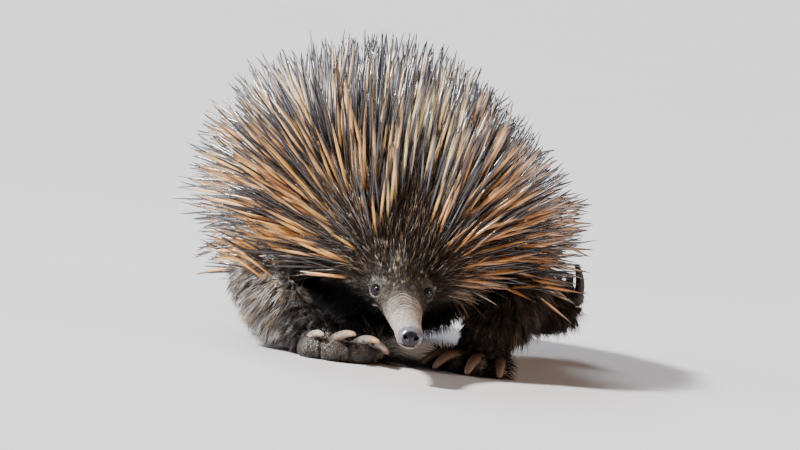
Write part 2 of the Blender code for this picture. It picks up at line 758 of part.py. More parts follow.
def main():
    clear_scene()
    random.seed(SEED)
    build_beak()
    build_head()
    build_eyes()
    build_ears()
    build_torso()
    build_tail()
    for name in LIMBS:
        build_limb(name)
    for name in FEET:
        build_foot(name)
        build_claws(name)


main()
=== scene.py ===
# The looks of a life-size walking echidna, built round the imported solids.
# Metres, Z up. The animal faces -Y and its left side is +X. Sizes in the dictionaries are millimetres.
import math

import bmesh
import bpy
import numpy as np
from mathutils import Matrix, Vector, noise
from mathutils.bvhtree import BVHTree
from mathutils.kdtree import KDTree


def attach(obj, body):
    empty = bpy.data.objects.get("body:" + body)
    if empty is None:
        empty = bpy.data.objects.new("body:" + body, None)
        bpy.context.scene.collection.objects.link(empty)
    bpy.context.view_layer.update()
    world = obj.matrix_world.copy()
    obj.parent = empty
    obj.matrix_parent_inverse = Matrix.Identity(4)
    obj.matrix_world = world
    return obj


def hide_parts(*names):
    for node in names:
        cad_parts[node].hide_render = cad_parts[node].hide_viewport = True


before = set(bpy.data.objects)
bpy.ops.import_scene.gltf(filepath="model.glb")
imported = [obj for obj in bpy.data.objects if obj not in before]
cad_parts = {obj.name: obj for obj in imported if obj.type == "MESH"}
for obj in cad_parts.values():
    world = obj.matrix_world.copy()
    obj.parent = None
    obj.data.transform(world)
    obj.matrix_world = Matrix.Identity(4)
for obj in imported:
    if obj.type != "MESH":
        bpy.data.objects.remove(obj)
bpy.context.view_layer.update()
print("frame loaded")

mm = 0.001

# the animal's own measures, the same as the solids have
animal = {
    "shift": (19.7, -7.8, 0.0),
    # x, y, z of the centre, half width, reach above, reach below, roll in degrees
    "stations": [
        (0.9, -191.6, 26.2, 3.2, 2.8, 3.0, 0), (0.6, -188.8, 27.0, 6.7, 6.0, 6.4, 0),
        (-0.2, -183.0, 28.6, 8.0, 7.2, 7.5, 0), (-2.0, -170.0, 32.2, 8.3, 7.5, 7.9, 0),
        (-4.6, -152.0, 37.3, 10.4, 9.2, 9.6, 0), (-6.6, -135.0, 42.6, 13.6, 11.8, 12.0, 0),
        (-7.7, -121.0, 48.4, 20.5, 15.0, 15.6, 0), (-9.0, -104.0, 55.0, 31.0, 24.5, 21.5, 0),
        (-11.0, -84.0, 62.0, 43.0, 35.0, 29.0, 2), (-14.0, -58.0, 71.5, 61.0, 48.0, 46.5, 5),
        (-17.0, -26.0, 81.0, 78.0, 60.0, 62.5, 8), (-19.5, 10.0, 87.0, 88.0, 67.0, 69.5, 9),
        (-21.0, 50.0, 88.0, 91.0, 68.0, 70.0, 9), (-22.0, 88.0, 85.0, 83.0, 63.0, 57.0, 9),
        (-22.0, 120.0, 78.0, 65.0, 52.0, 42.0, 7), (-22.0, 143.0, 70.0, 43.0, 37.0, 31.0, 5),
        (-22.0, 158.0, 62.0, 23.0, 20.0, 18.0, 3), (-22.0, 172.0, 54.0, 13.5, 12.0, 11.0, 0),
        (-22.0, 185.0, 45.0, 5.0, 4.5, 4.0, 0),
    ],
    # station, how far the skin lies inside the solids
    "coatDepth": [
        (0, 0), (4.9, 0), (5.5, 1.4), (6.2, 2.2), (7.0, 3.2), (7.6, 5.5),
        (8.4, 7), (15, 7), (16, 5), (17, 3.4), (18, 2.0),
    ],
    # x, y, z and radius of each station from the trunk to the wrist or ankle
    "limbs": {
        "forelegRight": [
            (-50, -30, 66, 28), (-78, -42, 53, 27), (-90, -54, 41, 24), (-81, -68, 27, 20), (-66, -79, 18.5, 15.5),
        ],
        "forelegLeft": [
            (28, -30, 62, 26), (53, -34, 54, 24), (57, -42, 42, 20.5), (51, -50, 31, 17.5), (46, -56, 22, 16),
        ],
        "hindlegRight": [
            (-56, 96, 70, 28), (-80, 84, 52, 27), (-78, 84, 37, 22), (-57, 97, 27, 16.5), (-40, 104, 21, 13.5),
        ],
        "hindlegLeft": [
            (14, 90, 70, 30), (44, 88, 60, 26), (61, 92, 50, 21), (71, 99, 36.5, 16.5), (82, 106, 29.5, 14.0),
        ],
    },
    "limbCoatDepth": [8.0, 7.5, 6.0, 4.6, 3.4],
}
shift = np.array(animal["shift"]) * mm
stations = np.array(animal["stations"], float)
limbNames = list(animal["limbs"])
limbRows = {name: np.array(rows, float) for name, rows in animal["limbs"].items()}

feet = {
    "forefootRight": {
        "limb": "forelegRight", "palm": (-49, -84, 9.5), "halves": (14, 18, 10.5), "along": (0.35, -0.94, 0),
        "up": (0, 0, 1), "toe": 7.0, "claw": (3.1, 2.6), "planted": True,
        # end of the toe, tip of its claw, how far the claw arches
        "digits": [
            ((-24, -79, 6.0), (-13, -79, 6.0), 0.10), ((-20, -92, 6.3), (-11, -105, 8.5), 0.12),
            ((-29, -100, 7.0), (-17, -114, 15.5), 0.12), ((-43.5, -104, 7.0), (-31.5, -116, 18.5), 0.12),
            ((-57.5, -100, 6.8), (-50.5, -112, 15.5), 0.14),
        ],
    },
    "forefootLeft": {
        "limb": "forelegLeft", "palm": (45, -62, 9.5), "halves": (14, 17, 10.5), "along": (-0.35, -0.94, 0),
        "up": (0, 0, 1), "toe": 6.8, "claw": (3.2, 2.4), "planted": True,
        "digits": [
            ((27, -56, 6.0), (14, -57, 2.2), 0.12), ((23.5, -68, 6.3), (9.5, -76, 2.2), 0.16),
            ((30, -78, 6.8), (17, -92, 2.0), 0.16), ((43, -83, 7.0), (37, -99, 2.0), 0.16),
            ((56.5, -79, 6.6), (57, -93, 2.0), 0.16),
        ],
    },
    "hindfootRight": {
        "limb": "hindlegRight", "palm": (-29, 109, 8.5), "halves": (13, 14, 9.5), "along": (-0.5, 0.87, 0),
        "up": (0, 0, 1), "toe": 5.8, "claw": (2.3, 1.9), "planted": True,
        "digits": [
            ((-47, 112, 5.2), (-54, 113, 3.0), 0.12), ((-47, 122, 5.6), (-71, 131, 2.5), 0.20),
            ((-40, 129, 5.6), (-52, 145, 2.2), 0.16), ((-30, 131, 5.4), (-32, 144, 2.2), 0.14),
            ((-20, 128, 5.2), (-16, 138, 2.2), 0.14),
        ],
    },
    "hindfootLeft": {
        "limb": "hindlegLeft", "palm": (90, 111, 32), "halves": (13, 13.5, 9.5), "along": (0.35, 0.12, 0.93),
        "up": (-0.1, -0.98, 0.12), "toe": 5.8, "claw": (2.9, 2.3), "planted": False,
        "digits": [
            ((100, 112, 29.5), (108, 109, 33), 0.10), ((103.5, 113, 38.5), (100.5, 106, 61.5), 0.11),
            ((97, 114, 44), (98, 108, 54.5), 0.14), ((89, 114, 46), (90, 108, 55), 0.14),
            ((84, 116, 44.5), (84.5, 110, 52), 0.14),
        ],
    },
}


# small helpers for arrays

def unit(v):
    return v / np.maximum(np.linalg.norm(v, axis=-1, keepdims=True), 1e-12)


def dot(a, b):
    return np.sum(a * b, axis=-1)


def ease(low, high, x):
    t = np.clip((np.asarray(x, float) - low) / (high - low), 0, 1)
    return t * t * (3 - 2 * t)


def table(rows, x):
    rows = np.array(rows, float)
    return np.interp(x, rows[:, 0], rows[:, 1])


def blendTo(a, b, t):
    return a + (b - a) * np.asarray(t)[..., None]


def readSpline(rows, at):
    at = np.clip(np.asarray(at, float), 0, len(rows) - 1.0)
    low = np.minimum(at.astype(int), len(rows) - 2)
    t = (at - low)[..., None]
    a, b, c, d = (rows[np.clip(low + k, 0, len(rows) - 1)] for k in (-1, 0, 1, 2))
    return 0.5 * (2 * b + (c - a) * t + (2 * a - 5 * b + 4 * c - d) * t ** 2 + (3 * b - a - 3 * c + d) * t ** 3)


def softNoise(points, size, offset=0.0):
    scaled = points / size + offset
    return np.array([noise.noise(p) for p in scaled.tolist()])


def spot(place):
    # a place in the animal's own millimetres, moved to the shared frame
    return np.array(place) * mm + shift


# the body's own surface, by station and angle; angle 0 is the animal's left and a quarter turn is the top

def bodyFrame(at):
    rows = readSpline(stations, at)
    step = 0.02
    back = unit(readSpline(stations, at + step)[..., :3] - readSpline(stations, at - step)[..., :3])
    side = unit(np.cross(back, (0.0, 0.0, 1.0)))
    up = np.cross(side, back)
    roll = np.radians(rows[..., 6])[..., None]
    turned = side * np.cos(roll) - up * np.sin(roll)
    raised = up * np.cos(roll) + side * np.sin(roll)
    return spot(rows[..., :3]), turned, raised, rows[..., 3] * mm, rows[..., 4] * mm, rows[..., 5] * mm


def bodyPoint(at, angle, grow=0.0):
    at, angle = np.broadcast_arrays(np.asarray(at, float), np.asarray(angle, float))
    centre, side, up, width, above, below = bodyFrame(at)
    rise = np.sin(angle)
    reach = np.where(rise > 0, above, below) + grow
    return centre + side * (np.cos(angle) * (width + grow))[..., None] + up * (rise * reach)[..., None]


def surfaceFrame(at, angle):
    here = bodyPoint(at, angle)
    along = unit(bodyPoint(at + 0.05, angle) - bodyPoint(at - 0.05, angle))
    around = bodyPoint(at, angle + 0.03) - bodyPoint(at, angle - 0.03)
    return here, -unit(np.cross(around, along)), along


fineAt = np.linspace(0, len(stations) - 1.0, 1500)
fineY = readSpline(stations, fineAt)[:, 1] * mm + shift[1]


def whereOnBody(points):
    at = np.interp(points[:, 1], fineY, fineAt)
    centre, side, up, width, above, below = bodyFrame(at)
    away = points - centre
    across, high = dot(away, side), dot(away, up)
    tall = np.where(high > 0, above, below)
    angle = np.arctan2(high / tall, across / width)
    proud = (np.hypot(across / width, high / tall) - 1) * np.minimum(width, tall)
    return at, angle, proud


def whereOnLimbs(points):
    # nearest limb, how far along it, and the gap to its surface
    best = np.full(len(points), 1e9)
    which, along = np.zeros(len(points), int), np.zeros(len(points))
    for number, name in enumerate(limbNames):
        centres, radii = spot(limbRows[name][:, :3]), limbRows[name][:, 3] * mm
        for k in range(len(radii) - 1):
            a, b = centres[k], centres[k + 1]
            t = np.clip(dot(points - a, b - a) / dot(b - a, b - a), 0, 1)
            off = np.linalg.norm(points - (a + (b - a) * t[:, None]), axis=1)
            gap = off - (radii[k] + (radii[k + 1] - radii[k]) * t)
            nearer = gap < best
            best = np.where(nearer, gap, best)
            which = np.where(nearer, number, which)
            along = np.where(nearer, k + t, along)
    return which, along, best


# meshes from arrays

def meshFrom(name, points, quads=(), tris=()):
    mesh = bpy.data.meshes.new(name)
    blocks = [np.asarray(block, np.int32) for block in (quads, tris) if len(block)]
    loops = np.concatenate([block.ravel() for block in blocks])
    sizes = np.concatenate([np.full(len(block), block.shape[1], np.int32) for block in blocks])
    starts = np.concatenate([[0], np.cumsum(sizes)[:-1]]).astype(np.int32)
    mesh.vertices.add(len(points))
    mesh.vertices.foreach_set("co", np.asarray(points, np.float32).ravel())
    mesh.loops.add(len(loops))
    mesh.loops.foreach_set("vertex_index", loops)
    mesh.polygons.add(len(sizes))
    mesh.polygons.foreach_set("loop_start", starts)
    mesh.update(calc_edges=True)
    mesh.polygons.foreach_set("use_smooth", np.ones(len(sizes), bool))
    return mesh


def objectFrom(name, data, material=None):
    made = bpy.data.objects.new(name, data)
    bpy.context.scene.collection.objects.link(made)
    if material:
        data.materials.append(material)
    return made


def paint(mesh, layerName, colours):
    layer = mesh.color_attributes.new(layerName, "FLOAT_COLOR", "POINT")
    values = np.ones((len(mesh.vertices), 4), np.float32)
    values[:, :colours.shape[1]] = colours
    layer.data.foreach_set("color", values.ravel())


def readArray(items, key, width=1, kind=np.float32):
    values = np.zeros(len(items) * width, kind)
    items.foreach_get(key, values)
    return values.reshape(-1, width) if width > 1 else values


def setUv(mesh, perVertex):
    layer = mesh.uv_layers.new(name="OFBake")
    index = readArray(mesh.loops, "vertex_index", kind=np.int32)
    layer.uv.foreach_set("vector", perVertex[index].astype(np.float32).ravel())


def readMesh(mesh):
    points = readArray(mesh.vertices, "co", 3).astype(float)
    sizes = readArray(mesh.polygons, "loop_total", kind=np.int32)
    loops = readArray(mesh.loops, "vertex_index", kind=np.int32)
    starts = np.concatenate([[0], np.cumsum(sizes)[:-1]])
    quads, tris = (loops[starts[sizes == corners][:, None] + np.arange(corners)] for corners in (4, 3))
    return points, quads, tris


def gridQuads(rows, columns):
    # rows of a closed grid, each joined to the next
    near = np.arange(rows - 1)[:, None] * columns + np.arange(columns)
    after = np.arange(rows - 1)[:, None] * columns + (np.arange(columns) + 1) % columns
    return np.stack([near, after, after + columns, near + columns], axis=-1).reshape(-1, 4)


def fan(pole, columns, first=0, flipped=False):
    # a ring of points closed on one more point
    near, after = first + np.arange(columns), first + (np.arange(columns) + 1) % columns
    return np.stack([np.full(columns, pole), *((after, near) if flipped else (near, after))], axis=-1)


def turns(columns):
    return np.arange(columns) * math.tau / columns


def ballShape(level):
    work = bmesh.new()
    bmesh.ops.create_icosphere(work, subdivisions=level, radius=1.0)
    points = np.array([v.co[:] for v in work.verts])
    tris = np.array([[v.index for v in f.verts] for f in work.faces])
    work.free()
    return points, tris


def fusedBalls(balls, voxel, rounds, extra=None):
    # many overlapping balls, and any closed loft, become one smooth skin
    unitPoints, unitTris = ballShape(3)
    points, tris, count = [], [], 0
    for centre, halves, turn in balls:
        points.append((unitPoints * halves) @ turn.T + centre)
        tris.append(unitTris + count)
        count += len(unitPoints)
    quads = np.zeros((0, 4), int)
    if extra:
        points.append(extra[0])
        quads = extra[1] + count
        tris.append(extra[2] + count)
    rough = objectFrom("roughForm", meshFrom("roughForm", np.concatenate(points), quads, np.concatenate(tris)))
    fuse = rough.modifiers.new("fuse", "REMESH")
    fuse.mode = "VOXEL"
    fuse.voxel_size = voxel
    relax = rough.modifiers.new("relax", "SMOOTH")
    relax.factor = 0.5
    relax.iterations = rounds
    bpy.context.view_layer.update()
    shown = rough.evaluated_get(bpy.context.evaluated_depsgraph_get())
    result = readMesh(shown.to_mesh())
    shown.to_mesh_clear()
    bpy.data.objects.remove(rough, do_unlink=True)
    return result


# shared shader effects

def addNode(tree, kind, settings=(), values=(), wires=()):
    # settings of the node, values of its inputs, and outputs wired to its inputs
    node = tree.nodes.new("ShaderNode" + kind)
    for key, value in dict(settings).items():
        setattr(node, key, value)
    for key, value in dict(values).items():
        node.inputs[key].default_value = value
    for key, source in dict(wires).items():
        tree.links.new(source, node.inputs[key])
    return node.outputs


def newGroup(name, inputs, output, outputKind):
    group = bpy.data.node_groups.new(name, "ShaderNodeTree")
    for label, kind, default in inputs:
        socket = group.interface.new_socket(name=label, in_out="INPUT", socket_type="NodeSocket" + kind)
        socket.default_value = default
    group.interface.new_socket(name=output, in_out="OUTPUT", socket_type="NodeSocket" + outputKind)
    return group, group.nodes.new("NodeGroupInput").outputs, group.nodes.new("NodeGroupOutput").inputs


def buildMottle():
    # uneven colour at two sizes, over the piece's own coordinates
    inputs = [("Color", "Color", (1, 1, 1, 1)), ("Scale", "Float", 200.0), ("Amount", "Float", 0.3)]
    group, start, end = newGroup("mottle", inputs, "Color", "Color")
    wires = {"Vector": addNode(group, "TexCoord")["Object"], "Scale": start["Scale"]}
    grain = addNode(group, "TexNoise", (), {"Detail": 4.0, "Roughness": 0.62}, wires)
    spread = addNode(group, "MapRange", (), {"From Min": 0.3, "From Max": 0.7}, {"Value": grain["Fac"]})
    low = addNode(group, "Math", {"operation": "SUBTRACT"}, {0: 1.0}, {1: start["Amount"]})
    high = addNode(group, "Math", {"operation": "ADD"}, {0: 1.0}, {1: start["Amount"]})
    wires = {"Value": spread["Result"], "To Min": low[0], "To Max": high[0]}
    strength = addNode(group, "MapRange", (), (), wires)
    wires = {0: start["Color"], "Scale": strength["Result"]}
    scaled = addNode(group, "VectorMath", {"operation": "SCALE"}, (), wires)
    group.links.new(scaled["Vector"], end["Color"])
    return group


def buildPores():
    # a height of fine creases and pits, for bare skin and horn
    group, start, end = newGroup("pores", [("Scale", "Float", 900.0), ("Crease", "Float", 0.5)], "Height", "Float")
    wires = {"Vector": addNode(group, "TexCoord")["Object"], "Scale": start["Scale"]}
    cells = addNode(group, "TexVoronoi", {"feature": "DISTANCE_TO_EDGE"}, (), wires)
    grain = addNode(group, "TexNoise", (), {"Detail": 3.0}, wires)
    edge = addNode(group, "MapRange", (), {"From Max": 0.12}, {"Value": cells["Distance"]})
    wires = {"Factor": start["Crease"], "A": grain["Fac"], "B": edge["Result"]}
    mixed = addNode(group, "Mix", {"data_type": "FLOAT"}, (), wires)
    group.links.new(mixed["Result"], end["Height"])
    return group


mottle = buildMottle()
pores = buildPores()


def newMaterial(name, roughness, coat=0.0, specular=0.5):
    made = bpy.data.materials.new(name)
    made.use_nodes = True
    shader = made.node_tree.nodes["Principled BSDF"].inputs
    shader["Roughness"].default_value = roughness
    shader["Coat Weight"].default_value = coat
    shader["Coat Roughness"].default_value = 0.18
    shader["Specular IOR Level"].default_value = specular
    return made, made.node_tree, shader


def toneThrough(tree, shader, scale, amount):
    tone = addNode(tree, "Attribute", {"attribute_name": "Tone"})["Color"]
    uneven = addNode(tree, "Group", {"node_tree": mottle}, {"Scale": scale, "Amount": amount}, {"Color": tone})
    tree.links.new(uneven["Color"], shader["Base Color"])
    return uneven["Color"]


def reliefOn(tree, shader, scale, crease, distance, calm=None):
    wires = {"Height": addNode(tree, "Group", {"node_tree": pores}, {"Scale": scale, "Crease": crease})["Height"]}
    if calm:  # shallower where it is 1
        share = addNode(tree, "MapRange", (), {"To Min": 1.0, "To Max": 0.2}, {"Value": calm})
        wires["Strength"] = share["Result"]
    bump = addNode(tree, "Bump", (), {"Distance": distance, "Strength": 1.0}, wires)
    tree.links.new(bump["Normal"], shader["Normal"])


def plainMaterial(name, roughness, scale, amount, coat=0.0, specular=0.4, relief=None):
    made, tree, shader = newMaterial(name, roughness, coat, specular)
    toneThrough(tree, shader, scale, amount)
    if relief:
        reliefOn(tree, shader, *relief)
    return made


# the bare skin, told apart by the Finish layer: red is wet, green has dark specks, blue has pale grit

bareSkin = {
    "roughness": 0.6, "mottle": (420.0, 0.24), "relief": (1100.0, 0.25, 0.00020),
    "specks": {"Scale": 720.0, "Detail": 2.0, "Roughness": 0.7}, "speckSpan": (0.54, 0.61),
    "speckTone": (0.25, 0.2, 0.17, 1),
    "grit": {"Scale": 1500.0, "Detail": 1.0}, "gritSpan": (0.57, 0.65), "gritTone": (0.38, 0.32, 0.27, 1),
    "dryAndWet": (0.62, 0.10),
}


def finishSpots(tree, place, values, span, share):
    # spots of a fine noise, as strong as the painted share
    grain = addNode(tree, "TexNoise", (), values, {"Vector": place})
    spots = addNode(tree, "MapRange", (), {"From Min": span[0], "From Max": span[1]}, {"Value": grain["Fac"]})
    return addNode(tree, "Math", {"operation": "MULTIPLY"}, (), {0: spots["Result"], 1: share})[0]


def skinMaterial():
    made, tree, shader = newMaterial("animalSkin", bareSkin["roughness"])
    tone = toneThrough(tree, shader, *bareSkin["mottle"])
    finish = addNode(tree, "Attribute", {"attribute_name": "Finish"})["Color"]
    parts = addNode(tree, "SeparateColor", (), (), {"Color": finish})
    place = addNode(tree, "TexCoord")["Object"]
    specks = finishSpots(tree, place, bareSkin["specks"], bareSkin["speckSpan"], parts["Green"])
    wires = {"Factor": specks, "A": tone}
    darker = addNode(tree, "Mix", {"data_type": "RGBA", "blend_type": "MULTIPLY"}, {"B": bareSkin["speckTone"]}, wires)
    grit = finishSpots(tree, place, bareSkin["grit"], bareSkin["gritSpan"], parts["Blue"])
    wires = {"Factor": grit, "A": darker["Result"]}
    paler = addNode(tree, "Mix", {"data_type": "RGBA"}, {"B": bareSkin["gritTone"]}, wires)
    tree.links.new(paler["Result"], shader["Base Color"])
    dry, wet = bareSkin["dryAndWet"]
    dryness = addNode(tree, "MapRange", (), {"To Min": dry, "To Max": wet}, {"Value": parts["Red"]})
    tree.links.new(dryness["Result"], shader["Roughness"])
    reliefOn(tree, shader, *bareSkin["relief"], parts["Red"])
    return made


finishes = {
    "skin": skinMaterial(),
    "claw": plainMaterial("clawHorn", 0.5, 420.0, 0.3, specular=0.35, relief=(520.0, 0.35, 0.00016)),
    "eye": plainMaterial("eyeGloss", 0.04, 500.0, 0.25, specular=0.3),
    "spine": plainMaterial("spineHorn", 0.22, 260.0, 0.18, coat=1.0, specular=0.7),
    "fur": plainMaterial("furHair", 0.42, 300.0, 0.2, specular=0.2),
}
print("materials made")


# the face: one fine grid from the tip of the beak to the nape

face = {
    "columns": 144,
    # first station, last, step
    "rows": [(0.0, 2.0, 0.05), (2.0, 3.2, 0.05), (3.2, 5.0, 0.022), (5.0, 7.0, 0.04), (7.0, 7.9, 0.06)],
    "eyeStation": 6.0, "eyeRadius": 4.8, "eyeOut": 13.2, "eyeUp": {1: 0.8, -1: -1.4}, "eyeForward": 3.6,
    "eyeLook": (0.62, 0.78, 0.10), "lid": 0.9, "lidColumns": 72,
    "foldStations": [3.50, 3.68, 3.86, 4.05, 4.24, 4.44], "foldHeight": 0.75, "foldWidth": 0.052,
    "nostrilSpacing": 3.0, "nostrilRadius": 1.35, "nostrilDepth": 2.6,
    "mouthDrop": 3.7, "mouthBack": 15.0, "mouthDepth": 1.1,
    "beakTone": (0.34, 0.288, 0.25), "beakBaseTone": (0.16, 0.13, 0.108), "bridgeSkyTone": (0.30, 0.30, 0.34),
    "noseTone": (0.013, 0.012, 0.017), "noseRimTone": (0.150, 0.142, 0.165),
    "lipTone": (0.105, 0.060, 0.045), "mouthTone": (0.03, 0.018, 0.015), "shadeSideTone": (0.27, 0.175, 0.14),
    "headTone": (0.020, 0.014, 0.011), "lidTone": (0.14, 0.13, 0.13), "lidEdgeTone": (0.02, 0.017, 0.017),
}


def eyeCentre(sign):
    centre, side, up, *_ = bodyFrame(np.array(face["eyeStation"]))
    place = centre + side * sign * face["eyeOut"] * mm + up * face["eyeUp"][sign] * mm
    return place + np.array((0, -1, 0)) * face["eyeForward"] * mm


def eyeLook(sign):
    _, side, up, *_ = bodyFrame(np.array(face["eyeStation"]))
    out, forward, rise = face["eyeLook"]
    return unit(side * sign * out + np.array((0, -1, 0)) * forward + up * rise)


def skinInset(at):
    return -table(animal["coatDepth"], at) * mm


def buildFaceGrid():
    at, angle = np.concatenate([np.arange(*span) for span in face["rows"]]), turns(face["columns"])
    grid = bodyPoint(at[:, None], angle[None], skinInset(at)[:, None])
    normal = surfaceFrame(at[:, None], angle[None])[1]
    wander = 0.05 * np.sin(angle * 3 + 0.6) + 0.03 * np.sin(angle * 7 + 2.0) - 0.22 * np.cos(angle) ** 2
    folds = np.zeros(grid.shape[:2])
    for k, fold in enumerate(face["foldStations"]):
        away = at[:, None] - fold - wander[None] * (0.6 + 0.2 * k)
        folds += np.exp(-((away / face["foldWidth"]) ** 2)) * (0.75 + 0.25 * math.sin(k * 2.3))
    rise = np.sin(angle)[None]
    creased = (ease(3.3, 3.5, at) * ease(4.7, 4.45, at))[:, None]
    depth = (folds - 0.4) * face["foldHeight"] * mm * ease(-0.45, 0.5, rise) * creased
    # creases under the beak's base are softer
    depth += folds * 0.2 * mm * ease(0.2, -0.6, rise)
    tipCentre, tipSide, tipUp, *_ = bodyFrame(np.array(0.6))
    forward = unit(bodyFrame(np.array(0.0))[0] - bodyFrame(np.array(2.0))[0])
    return at, angle, grid + normal * depth[..., None], normal, folds, (tipCentre, tipSide, tipUp, forward)


def alongTip(points, tip):
    # across, up and ahead of the beak's tip
    return [dot(points - tip[0], axis) for axis in tip[1:]]


def noseRelief(across, high, ahead):
    # how far a point of the nose is pushed back along the beak's axis, in metres
    wide = (np.abs(across) - face["nostrilSpacing"] * mm) / (face["nostrilRadius"] * mm)
    tall = (high - (0.9 * mm + np.abs(across) * 0.25)) / (face["nostrilRadius"] * 0.95 * mm)
    near = np.hypot(wide, tall)
    hole = face["nostrilDepth"] * mm * (1 - ease(0.55, 1.05, near))
    rim = -0.35 * mm * np.exp(-((near - 1.35) / 0.35) ** 2)
    groove = 0.5 * mm * np.exp(-(across / (0.5 * mm)) ** 2)
    groove = groove * ease(-2.6, -1.0, high / mm) * (1 - ease(0.5, 2.2, high / mm))
    return (hole + rim + groove) * (ahead > -2.5 * mm)


def buildFace():
    at, angle, points, normal, folds, tip = buildFaceGrid()
    forward, columns = tip[3], face["columns"]
    # the rounded end: rings that close on the tip
    first = points[0]
    middle = first.mean(0)
    shares = (0.06, 0.2, 0.34, 0.48, 0.62, 0.76, 0.89)
    rings = [middle + (first - middle) * share + forward * 0.9 * mm * math.sqrt(1 - share ** 2) for share in shares]
    points = np.concatenate([np.array(rings), points])
    at = np.concatenate([np.zeros(len(rings)), at])
    folds = np.concatenate([np.zeros((len(rings), columns)), folds])
    outward = np.concatenate([np.broadcast_to(forward, (len(rings), columns, 3)), normal])
    across, high, ahead = alongTip(points, tip)
    points = points - forward * noseRelief(across, high, ahead)[..., None]
    # the mouth, a slit between low lips
    behind = (ahead + face["mouthBack"] * mm) / (face["mouthBack"] * mm)
    slit = np.exp(-((high + face["mouthDrop"] * mm) / (0.42 * mm)) ** 2) * ease(0.0, 0.25, behind)
    lips = np.exp(-((high + (face["mouthDrop"] + 1.0) * mm) / (0.7 * mm)) ** 2) * ease(0.2, 0.6, behind)
    points = points - outward * (slit * face["mouthDepth"] * mm - lips * 0.35 * mm)[..., None]
    flat = points.reshape(-1, 3)
    coarse = softNoise(flat, 5.5 * mm) * 0.22 * mm + softNoise(flat, 2.0 * mm, 3.0) * 0.09 * mm
    calm = np.repeat(ease(1.0, 2.0, at), columns)
    points = (flat + outward.reshape(-1, 3) * (coarse * calm)[:, None]).reshape(points.shape)
    # make room for the eyes, whose lids are laid over the grid afterwards
    room = (face["eyeRadius"] + face["lid"] * 0.9) * mm
    for sign in (1, -1):
        away, look = points - eyeCentre(sign), eyeLook(sign)
        distance = np.linalg.norm(away, axis=-1)
        facing = dot(away, look) / np.maximum(distance, 1e-9)
        push = np.clip(room - distance, 0, None) * ease(-0.3, 0.3, facing)
        points = points + unit(away) * push[..., None]
        sunk = ease(0.55, 0.8, facing) * ease(9.0 * mm, 6.5 * mm, distance)
        points = points - look * (sunk * 1.6 * mm)[..., None]
    flat = np.concatenate([points.reshape(-1, 3), [rings[0].mean(0)]])
    quads, tris = gridQuads(len(points), columns)[:, ::-1], fan(len(flat) - 1, columns)
    at, angle = np.append(np.repeat(at, columns), 0.0), np.append(np.tile(angle, len(points)), 0.0)
    return flat, quads, tris, at, angle, np.append(folds, 0.0), tip


def paintFace(points, at, angle, folds, tip):
    across, high, ahead = (part / mm for part in alongTip(points, tip))
    rise = np.sin(angle)
    tone = np.tile(np.array(face["beakTone"]), (len(points), 1))
    # painted warm shade: the beak turns darker and warmer towards the animal's left side, away from the light
    tone = blendTo(tone, np.array(face["shadeSideTone"]), ease(-0.3, 0.9, np.cos(angle)) * 0.65)
    tone = tone * (1 + 0.16 * softNoise(points, 6 * mm)[:, None])
    base = at - 0.2 * ease(0.5, -0.5, rise) + 0.3 * softNoise(points, 4 * mm, 9.0)
    # painted sky light: a bluish band over the top of the beak behind the nose
    bridge = np.exp(-((ahead + 8.5) / 3.2) ** 2) * ease(0, 5, high)
    furred = at - 0.2 * ease(0.6, -0.4, rise) + 0.2 * softNoise(points, 3 * mm, 5.0)
    tone = blendTo(tone, np.array(face["beakBaseTone"]), ease(3.1, 4.0, base) * 0.75)
    tone = blendTo(tone, np.array(face["bridgeSkyTone"]), bridge * 0.6)
    tone = blendTo(tone, np.array(face["headTone"]), ease(4.25, 4.75, furred))
    # painted shade in the valleys between the folds at the beak's base
    creaseShade = ease(0.5, 0.1, folds) * ease(3.35, 3.55, at) * ease(4.8, 4.6, at) * ease(-0.4, 0.3, rise)
    tone = tone * (1 - 0.72 * creaseShade)[:, None]
    nose = ease(-5.0, -2.6, ahead + 0.12 * high) * ease(-5.0, -3.2, high)
    muzzle = nose * ease(6.0, 4.4, np.hypot(across, (high - 0.4) * 1.05))
    lip = ease(-9.0, -4.0, ahead) * ease(-2.9, -3.9, high)
    slit = np.exp(-((high + face["mouthDrop"]) / 0.35) ** 2)
    slit = slit * ease(-face["mouthBack"], -face["mouthBack"] + 3, ahead)
    for key, share in (("noseRimTone", nose), ("noseTone", muzzle), ("lipTone", lip * 0.9), ("mouthTone", slit * 0.9)):
        tone = blendTo(tone, np.array(face[key]), share)
    specked = ease(0.9, 2.0, at) * (0.7 + 0.3 * ease(2.6, 3.4, at)) * ease(6.2, 5.6, at)
    gritty = ease(3.2, 3.9, at) * ease(5.2, 4.5, at) * 0.4
    return tone, np.stack([np.maximum(nose, lip * 0.7), specked, gritty], -1)


def lidRelief(sign, reach, turn, out, ground):
    # height of the lid and its wrinkles over the plane through the eye's centre
    inner = (face["eyeRadius"] + 0.12) * mm
    ball = math.sqrt(max(inner ** 2 - out ** 2, 0.0)) if out < inner else 0.0
    lidTop = math.sqrt(max(((face["eyeRadius"] + face["lid"]) * mm) ** 2 - out ** 2, 0.0))
    lidHeight = ball + (lidTop - ball) * float(ease(3.65 * mm, 4.25 * mm, reach))
    settle = float(ease(4.6 * mm, 8.8 * mm, reach))
    height = lidHeight * (1 - settle) + (ground + 0.25 * mm) * settle
    height = max(height, ground + 0.3 * mm * (1 - settle))
    ripple = 0.24 * mm * math.sin((reach / mm - 4.0) * math.tau / 0.9 + 0.6 * math.sin(turn * 3 + sign))
    ripple = ripple * float(ease(3.8 * mm, 4.2 * mm, reach)) * (1 - settle)
    return height, ripple, 0.6 * mm * float(ease(9.2 * mm, 10.2 * mm, reach))


